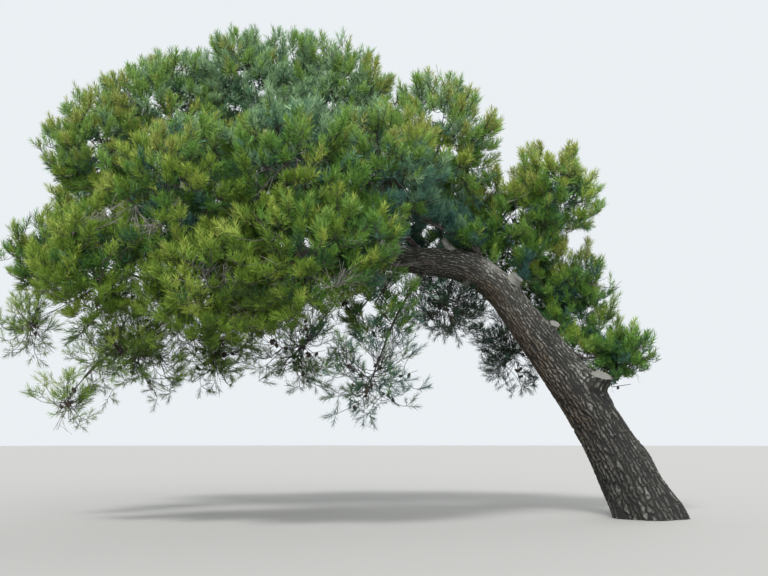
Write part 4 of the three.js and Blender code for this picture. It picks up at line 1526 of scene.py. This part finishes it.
def deal_tints(mass, shoots, clumps):
    """The tint's number for each shoot: painted light and shade from its height, its clump and its depth."""
    random = generator(3000 + mass["seed"])
    tip, clump, total = shoots["tip"], shoots["clump"], len(clumps["tip"])
    clump_warmth = random.normal(0, 0.13, total)[clump]
    clump_light = random.normal(0, 0.2, total)[clump]
    height, hollow_shade = tip[:, 2], in_spots(tip, SHADED_HOLLOWS)
    left = np.clip((-2.5 - tip[:, 0]) / 2, 0, 1)
    olive = 0.1 * ease(height, 3.0, 3.6) - 0.33 * ease(height, 4.3, 5.0)
    warmth = 0.5 + 0.26 * (4.3 - height) * left + olive * (1 - left) + clump_warmth
    # Painted shade: the hollows and the depths of the crown are cooler.
    warmth = warmth - 0.45 * hollow_shade - 0.3 * ease(shoots["depth"], 0.2, 0.5)
    # Painted light and shade: lighter high in the mass, high in the clump, high in the crown and on its
    # right; darker deep inside, in the hollows, at the dim spot and low on the right.
    inside_mass = (height - mass["middle"][2]) / mass["reach"]
    rank = height - clumps["tip"][clump][:, 2]
    painted_light = 0.5 + 0.28 * inside_mass + 1.4 * rank + clump_light - 1.1 * np.maximum(shoots["depth"] - 0.12, 0)
    low_right = (1 - ease(height, 2.6, 3.4)) * (1 - left)
    spot_shade = in_spots(tip, SHADED_SPOTS) * (tip[:, 1] < 0)
    painted_light = painted_light - 0.3 * hollow_shade + 0.48 * ease(height, 3.6, 5.0) - 0.18 * low_right - 0.25 * spot_shade
    painted_light = painted_light + 0.12 * ease(height, 3.0, 3.4) * (1 - left)
    warmth = warmth + (0.14 if mass["name"] in DEEP_GREEN else 0)
    open_light = OPEN_LIGHT.get(mass["name"], OTHER_OPEN_LIGHT)
    # Painted shade: the open masses hang under the crown, so they are painted darker and cooler.
    if not mass["dense"]:
        painted_light = painted_light + open_light
        warmth = warmth - (0.2 if mass["name"] in OPEN_LIGHT else 0.05)
    painted_light = painted_light + random.normal(0, 0.12, len(tip))
    # Painted shade is also cooler, and painted light warmer.
    warmth = warmth + 0.3 * (painted_light - 0.55)
    tone = np.digitize(painted_light, TONE_LIMITS)
    tint = np.digitize(warmth, KIND_LIMITS) * TONES + tone
    # The most lit warm tops take the new tips' colour, partly as a painted highlight.
    tint = np.where((painted_light > 1.06) & (warmth > 0.5), NEW_TIP_AND_HIGHLIGHT, tint)
    return np.where((tone == 0) & (open_light < SHADED), HANGING_SHADE, tint)


top_tints = deal_tints(top_mass, top_mass["shoots"], top_mass["clumps"])
print("shoots of each tint on the top mass", np.bincount(top_tints).tolist())


# %% Meshes from arrays
def mesh_piece(name, corners, faces, finishes, picks=None):
    """One joined mesh from all its corners and its triangles."""
    mesh = bpy.data.meshes.new(name)
    mesh.vertices.add(len(corners))
    mesh.vertices.foreach_set("co", corners.astype(np.float32).ravel())
    mesh.loops.add(faces.size)
    mesh.loops.foreach_set("vertex_index", faces.astype(np.int32).ravel())
    mesh.polygons.add(len(faces))
    mesh.polygons.foreach_set("loop_start", np.arange(0, faces.size, 3, dtype=np.int32))
    for finish in finishes:
        mesh.materials.append(finish)
    if picks is not None:
        mesh.polygons.foreach_set("material_index", picks.astype(np.int32))
    mesh.update(calc_edges=True)
    piece = bpy.data.objects.new(name, mesh)
    bpy.context.collection.objects.link(piece)
    return piece


print("mesh helper ready")


# %% Setting brushes on the shoots
def place_brushes(kind, root, tip, random):
    """A turned copy of a brush on every shoot, as the corners of all its blades."""
    total = len(tip)
    way = tip - root
    length = np.linalg.norm(way, axis=1)
    way = way / length[:, None]
    side = unit(np.cross(way, random.normal(0, 1, (total, 3))))
    other = np.cross(way, side)
    shapes = BRUSHES[kind][random.integers(0, VERSIONS, total)]
    wide = (0.9 + 0.25 * random.random(total))[:, None]
    axes = (side * wide, other * wide, way * (length / SHOOT_LENGTH)[:, None])
    placed = sum(shapes[..., k : k + 1] * axis[:, None, None] for k, axis in enumerate(axes))
    return placed + root[:, None, None]


def brush_mesh(masses):
    """The corners of every blade in these masses, and the tint of each blade."""
    corners, picks = [], []
    for mass in masses:
        shoots, random = mass["shoots"], generator(4000 + mass["seed"])
        tint = deal_tints(mass, shoots, mass["clumps"])
        inner = shoots["depth"] > SKIN_DEPTH
        groups = {"outer": ~inner, "inner": inner} if mass["dense"] else {"open": ~inner}
        for kind, chosen in groups.items():
            blades = place_brushes(kind, shoots["root"][chosen], shoots["tip"][chosen], random)
            corners.append(blades.reshape(-1, 3))
            picks.append(np.repeat(tint[chosen], blades.shape[1]))
    return np.concatenate(corners), np.concatenate(picks)


print("blades on the top mass", len(brush_mesh([top_mass])[1]))

# %% Needles, in pieces by part of the crown
PARTS = {
    "left": ["left_tip", "outer_left", "front_left", "hang_left", "hang_front_left", "hang_tip"],
    "top_left": ["top_left", "back_left"],
    "top": ["top", "top_right"],
    "front": [
        "front_low", "front_mid", "front_right", "under_end", "hang_centre", "hang_mid_left", "hang_mid",
    ],
    "front_high": ["front_high_left", "front_high", "front_high_right"],
    "right": ["far_right", "right_mid", "right_low", "right_tip", "hang_right"],
    "shoulder": ["shoulder", "back_right", "hang_inner"],
    "back": ["back_mid_left", "back_mid_right", "back_low"],
}
needle_total = 0
for part, names in PARTS.items():
    blades, picks = brush_mesh([MASSES[name] for name in names])
    faces = np.arange(len(blades)).reshape(-1, 3)
    piece = mesh_piece("needles_" + part, blades, faces, NEEDLE_FINISHES, picks)
    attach(piece, "root")
    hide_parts(*["foliage_" + name for name in names])
    needle_total += len(picks)
    print(piece.name, "triangles", len(picks))
print("needles in all", needle_total)

# %% [markdown]
# ## Twigs
#
# On the real object: the twigs are grey-brown and thin, and show against the sky under the crown. Bevelled
# curves could make them, but tens of thousands of those would be slow. So each is a three-sided tube, which
# is round enough at this width, and the shoots, which show only near the crown's skin, are three-sided
# spikes. All twigs of a part of the crown are joined into one mesh. The hanging masses have slimmer stems.

# %% Twig finish
twig_bark, twig_shader = new_material("twig_bark", (0.09, 0.075, 0.06), 0.85)
tree = twig_bark.node_tree
place = add_node(tree, "ShaderNodeTexCoord").outputs["Object"]
scaly = scale_and_shift(tree, add_noise(tree, place, 40), 2.5, -0.8)
scaly = mix_colours(tree, scaly, (0.034, 0.029, 0.025), (0.11, 0.097, 0.084))
tree.links.new(scaly, twig_shader.inputs["Base Color"])
print("finish", twig_bark.name)


# %% Thin tubes
def thin_tubes(lines, radii):
    """Closed three-sided tubes along many lines at once."""
    total, steps, _ = lines.shape
    ways = unit(np.gradient(lines, axis=1))
    chord = unit(lines[:, -1] - lines[:, 0])
    guide = np.where(np.abs(chord[:, 2:]) > 0.85, np.array([[1.0, 0.2, 0.0]]), np.array([[0.1, 0.2, 1.0]]))
    side = unit(np.cross(ways, guide[:, None]))
    other = np.cross(ways, side)
    angles = np.arange(3) * FULL_TURN / 3
    round_it = side[:, :, None] * np.cos(angles)[:, None] + other[:, :, None] * np.sin(angles)[:, None]
    rings = lines[:, :, None] + radii[:, :, None, None] * round_it
    corners = rings.reshape(total, steps * 3, 3)
    faces = []
    for s in range(steps - 1):
        for j in range(3):
            a, b = s * 3 + j, s * 3 + (j + 1) % 3
            faces += [(a, b, b + 3), (a, b + 3, a + 3)]
    last = (steps - 1) * 3
    faces += [(0, 2, 1), (last, last + 1, last + 2)]
    faces = np.array(faces)[None] + (np.arange(total) * steps * 3)[:, None, None]
    return corners.reshape(-1, 3), faces.reshape(-1, 3)


def spikes(roots, tips, radius):
    """Closed three-sided spikes, for the shoots."""
    way = unit(tips - roots)
    side = unit(np.cross(way, np.array([0.4, 0.1, 0.9])))
    other = np.cross(way, side)
    angles = np.arange(3) * FULL_TURN / 3
    ring = [roots + radius * (side * math.cos(angle) + other * math.sin(angle)) for angle in angles]
    corners = np.stack([*ring, tips], axis=1)
    faces = np.array([(0, 1, 3), (1, 2, 3), (2, 0, 3), (0, 2, 1)])
    faces = faces[None] + (np.arange(len(roots)) * 4)[:, None, None]
    return corners.reshape(-1, 3), faces.reshape(-1, 3)


def join_arrays(parts):
    """Joins several pairs of corners and faces into one."""
    corners, faces, base = [], [], 0
    for own_corners, own_faces in parts:
        corners.append(own_corners)
        faces.append(own_faces + base)
        base += len(own_corners)
    return np.concatenate(corners), np.concatenate(faces)


def taper(total, radii, steps):
    """The radii of many tubes that thin evenly from the first radius to the last."""
    return np.broadcast_to(np.linspace(*radii, steps), (total, steps))


def curves(start, bend, tip, steps):
    """Points along many side twigs at once."""
    share = np.broadcast_to(np.linspace(0, 1, steps), (len(tip), steps))
    return curve_points(start[:, None], bend[:, None], tip[:, None], share)


print("radii of a side twig", taper(1, (0.0048, 0.0026), 4)[0].round(4))

# %% Twigs, in the same parts
TWIG_PARTS = {
    "left": ["left", "top_left"], "top": ["top", "shoulder"], "front": ["front", "front_high"],
    "right": ["right", "back"],
}
SIDE_TWIG_STEPS = {True: 4, False: 6}
STALK_DEPTH = 0.22
STEM_RADII, FIRST_TWIG_RADII, SIDE_TWIG_RADII = (0.016, 0.010), (0.0095, 0.004), (0.0048, 0.0026)
SHOOT_RADIUS = 0.003
SLIMMER = {"hang_tip": 0.4, "hang_left": 0.55}
OTHER_SLIMMER = 0.7


def twig_arrays(mass):
    """All the tubes and spikes of one mass: its stem, first twigs, side twigs and shoots."""
    stem, lines = mass["stem"].at(np.linspace(0, 1, 7))[None], mass["lines"]
    stout = 1 if mass["dense"] else SLIMMER.get(mass["name"], OTHER_SLIMMER)
    clumps, shoots, steps = mass["clumps"], mass["shoots"], SIDE_TWIG_STEPS[mass["dense"]]
    side_twigs = curves(clumps["start"], clumps["bend"], clumps["tip"], steps)
    shows = shoots["depth"] < STALK_DEPTH
    return [
        thin_tubes(stem, taper(1, STEM_RADII, 7) * stout),
        thin_tubes(lines, taper(len(lines), FIRST_TWIG_RADII, lines.shape[1]) * stout),
        thin_tubes(side_twigs, taper(len(side_twigs), SIDE_TWIG_RADII, steps)),
        spikes(shoots["root"][shows], shoots["tip"][shows], SHOOT_RADIUS),
    ]


for part, groups in TWIG_PARTS.items():
    names = [name for group in groups for name in PARTS[group]]
    arrays = [array for name in names for array in twig_arrays(MASSES[name])]
    corners, faces = join_arrays(arrays)
    piece = mesh_piece("twigs_" + part, corners, faces, [twig_bark])
    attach(piece, "root")
    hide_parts(*["foliage_" + name for name in names])
    print(piece.name, "triangles", len(faces))

# %% [markdown]
# ## Dead twigs
#
# On the real object: inside the crown and under it hang fine dead twigs, bleached pale grey, that show in
# the dark gaps between clumps and in the bare spots. They could be left out at this size, but they give the
# shade its pale threads. Each leaves a first twig, sags a little, and forks three times. Each bare spot
# gets a bunch of its own, which leaves the nearest first twig.

# %% Dead twigs
DEAD_TWIGS = {True: 20, False: 6}
SPOT_TWIGS = 9
SPOT_ROOT = np.array([-0.12, 0.2, -0.05])
SPOT_SPREAD = np.array([0.13, 0.05, 0.07])
FORK_PLACES = (0.3, 0.52, 0.74)
DEAD_RADII = {"twig": 0.0042, "fork": 0.0028}


def dead_twigs(mass):
    """Start, bend and tip of bare twigs and of their forks."""
    random = generator(5000 + mass["seed"])
    count = DEAD_TWIGS[mass["dense"]]
    lines = mass["lines"]
    start = lines[random.integers(0, len(lines), count), random.integers(3, 7, count)]
    out = unit(start - mass["middle"])
    way = unit(out + random.normal(0, 0.5, (count, 3)) - UP * 0.25)
    tip = start + way * (0.2 + 0.25 * random.random(count))[:, None]
    inner = lines[:, 3:].reshape(-1, 3)
    for spot in BARE_SPOTS[outside(mass, BARE_SPOTS) < 0]:
        nearest = np.linalg.norm(inner - spot - SPOT_ROOT, axis=1).argmin()
        own_tip = spot + random.normal(0, 1, (SPOT_TWIGS, 3)) * SPOT_SPREAD
        start = np.concatenate([start, np.repeat(inner[None, nearest], SPOT_TWIGS, axis=0)])
        tip = np.concatenate([tip, own_tip])
    way, count = unit(tip - start), len(start)
    bend = (start + tip) / 2 - UP * 0.04 + random.normal(0, 0.03, (count, 3))
    groups = [(start, bend, tip, DEAD_RADII["twig"])]
    for place in FORK_PLACES:
        root = curve_points(start, bend, tip, np.full(count, place))
        fork_way = unit(way + random.normal(0, 0.65, (count, 3)))
        end = root + fork_way * (0.08 + 0.13 * random.random(count))[:, None]
        groups.append((root, (root + end) / 2 + UP * 0.012, end, DEAD_RADII["fork"]))
    kept = []
    for start, bend, tip, radius in groups:
        keep = (gap_to_limbs(tip) > 0.03) & (depth_for(mass, tip) > 0)
        kept.append((start[keep], bend[keep], tip[keep], radius))
    return kept


bleached, _ = new_material("bleached_twig", (0.27, 0.255, 0.235), 0.85)
arrays = []
for mass in MASSES.values():
    for start, bend, tip, radius in dead_twigs(mass):
        radii = taper(len(tip), (radius, radius * 0.5), 4)
        arrays.append(thin_tubes(curves(start, bend, tip, 4), radii))
corners, faces = join_arrays(arrays)
piece = mesh_piece("dead_twigs", corners, faces, [bleached])
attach(piece, "root")
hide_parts(*["foliage_" + name for name in MASSES])
print(piece.name, "triangles", len(faces))

# %% [markdown]
# ## Cones
#
# On the real object: small dark cones sit along the twigs, mostly on the hanging ones, and point backwards.
# A plain egg would do at this distance, but seen closer it would look like a berry. So one ball is drawn
# out to a cone's shape and every other corner is pulled in for the scales, and copies of it are joined into
# one mesh.

# %% One cone
CONE_LENGTH, CONE_RADIUS = 0.062, 0.019
CONE_SIDES, CONE_RINGS = 10, 8
bpy.ops.object.select_all(action="DESELECT")
bpy.ops.mesh.primitive_uv_sphere_add(segments=CONE_SIDES, ring_count=CONE_RINGS, radius=1)
cone = bpy.context.object
bpy.ops.object.mode_set(mode="EDIT")
bpy.ops.mesh.select_all(action="SELECT")
bpy.ops.mesh.quads_convert_to_tris()
bpy.ops.transform.resize(value=(CONE_RADIUS, CONE_RADIUS, CONE_LENGTH / 2), center_override=(0, 0, 0))
bpy.ops.object.mode_set(mode="OBJECT")
cone_corners = read_corners(cone)
turn = np.rint(np.arctan2(cone_corners[:, 1], cone_corners[:, 0]) / FULL_TURN * CONE_SIDES)
ring = np.rint(cone_corners[:, 2] / CONE_LENGTH * 12)
cone_corners[:, :2] *= (1 + 0.16 * np.where((turn + ring) % 2 > 0, 1, -1))[:, None]
cone_corners[:, :2] *= (1 - 0.45 * ease(cone_corners[:, 2] / CONE_LENGTH, 0, 0.5))[:, None]
cone_faces = np.array([tuple(face.vertices) for face in cone.data.polygons])
bpy.data.objects.remove(cone)
print("faces on a cone", len(cone_faces))

# %% Cones on the twigs
CONES = {True: 5, False: 32}
FEWER_CONES = {"hang_tip": 5, "hang_left": 10}


def cone_places(mass):
    """Middles of cones beside the first twigs, and the way that each points."""
    random = generator(7000 + mass["seed"])
    count, lines = FEWER_CONES.get(mass["name"], CONES[mass["dense"]]), mass["lines"]
    line, step = random.integers(0, len(lines), count), random.integers(4, 8, count)
    along = unit(lines[line, step] - lines[line, step - 1])
    aside = unit(np.cross(along, random.normal(0, 1, (count, 3))))
    way = unit(aside * 0.7 - along * 0.7 - UP * 0.3)
    middle = lines[line, step] + way * (CONE_LENGTH * 0.55)
    keep = gap_to_limbs(middle) > 0.05
    return middle[keep], way[keep]


arrays = []
for mass in MASSES.values():
    middle, way = cone_places(mass)
    side = unit(np.cross(way, np.array([0.3, 0.2, 0.9])))
    axes = np.stack([side, np.cross(way, side), way], axis=1)
    placed = np.einsum("ck,nkd->ncd", cone_corners, axes) + middle[:, None]
    faces = cone_faces[None] + (np.arange(len(middle)) * len(cone_corners))[:, None, None]
    arrays.append((placed.reshape(-1, 3), faces.reshape(-1, 3)))
corners, faces = join_arrays(arrays)
cone_brown, _ = new_material("cone_brown", (0.035, 0.024, 0.017), 0.7)
piece = mesh_piece("cones", corners, faces, [cone_brown])
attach(piece, "root")
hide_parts(*["foliage_" + name for name in MASSES])
print(piece.name, "triangles", len(faces))
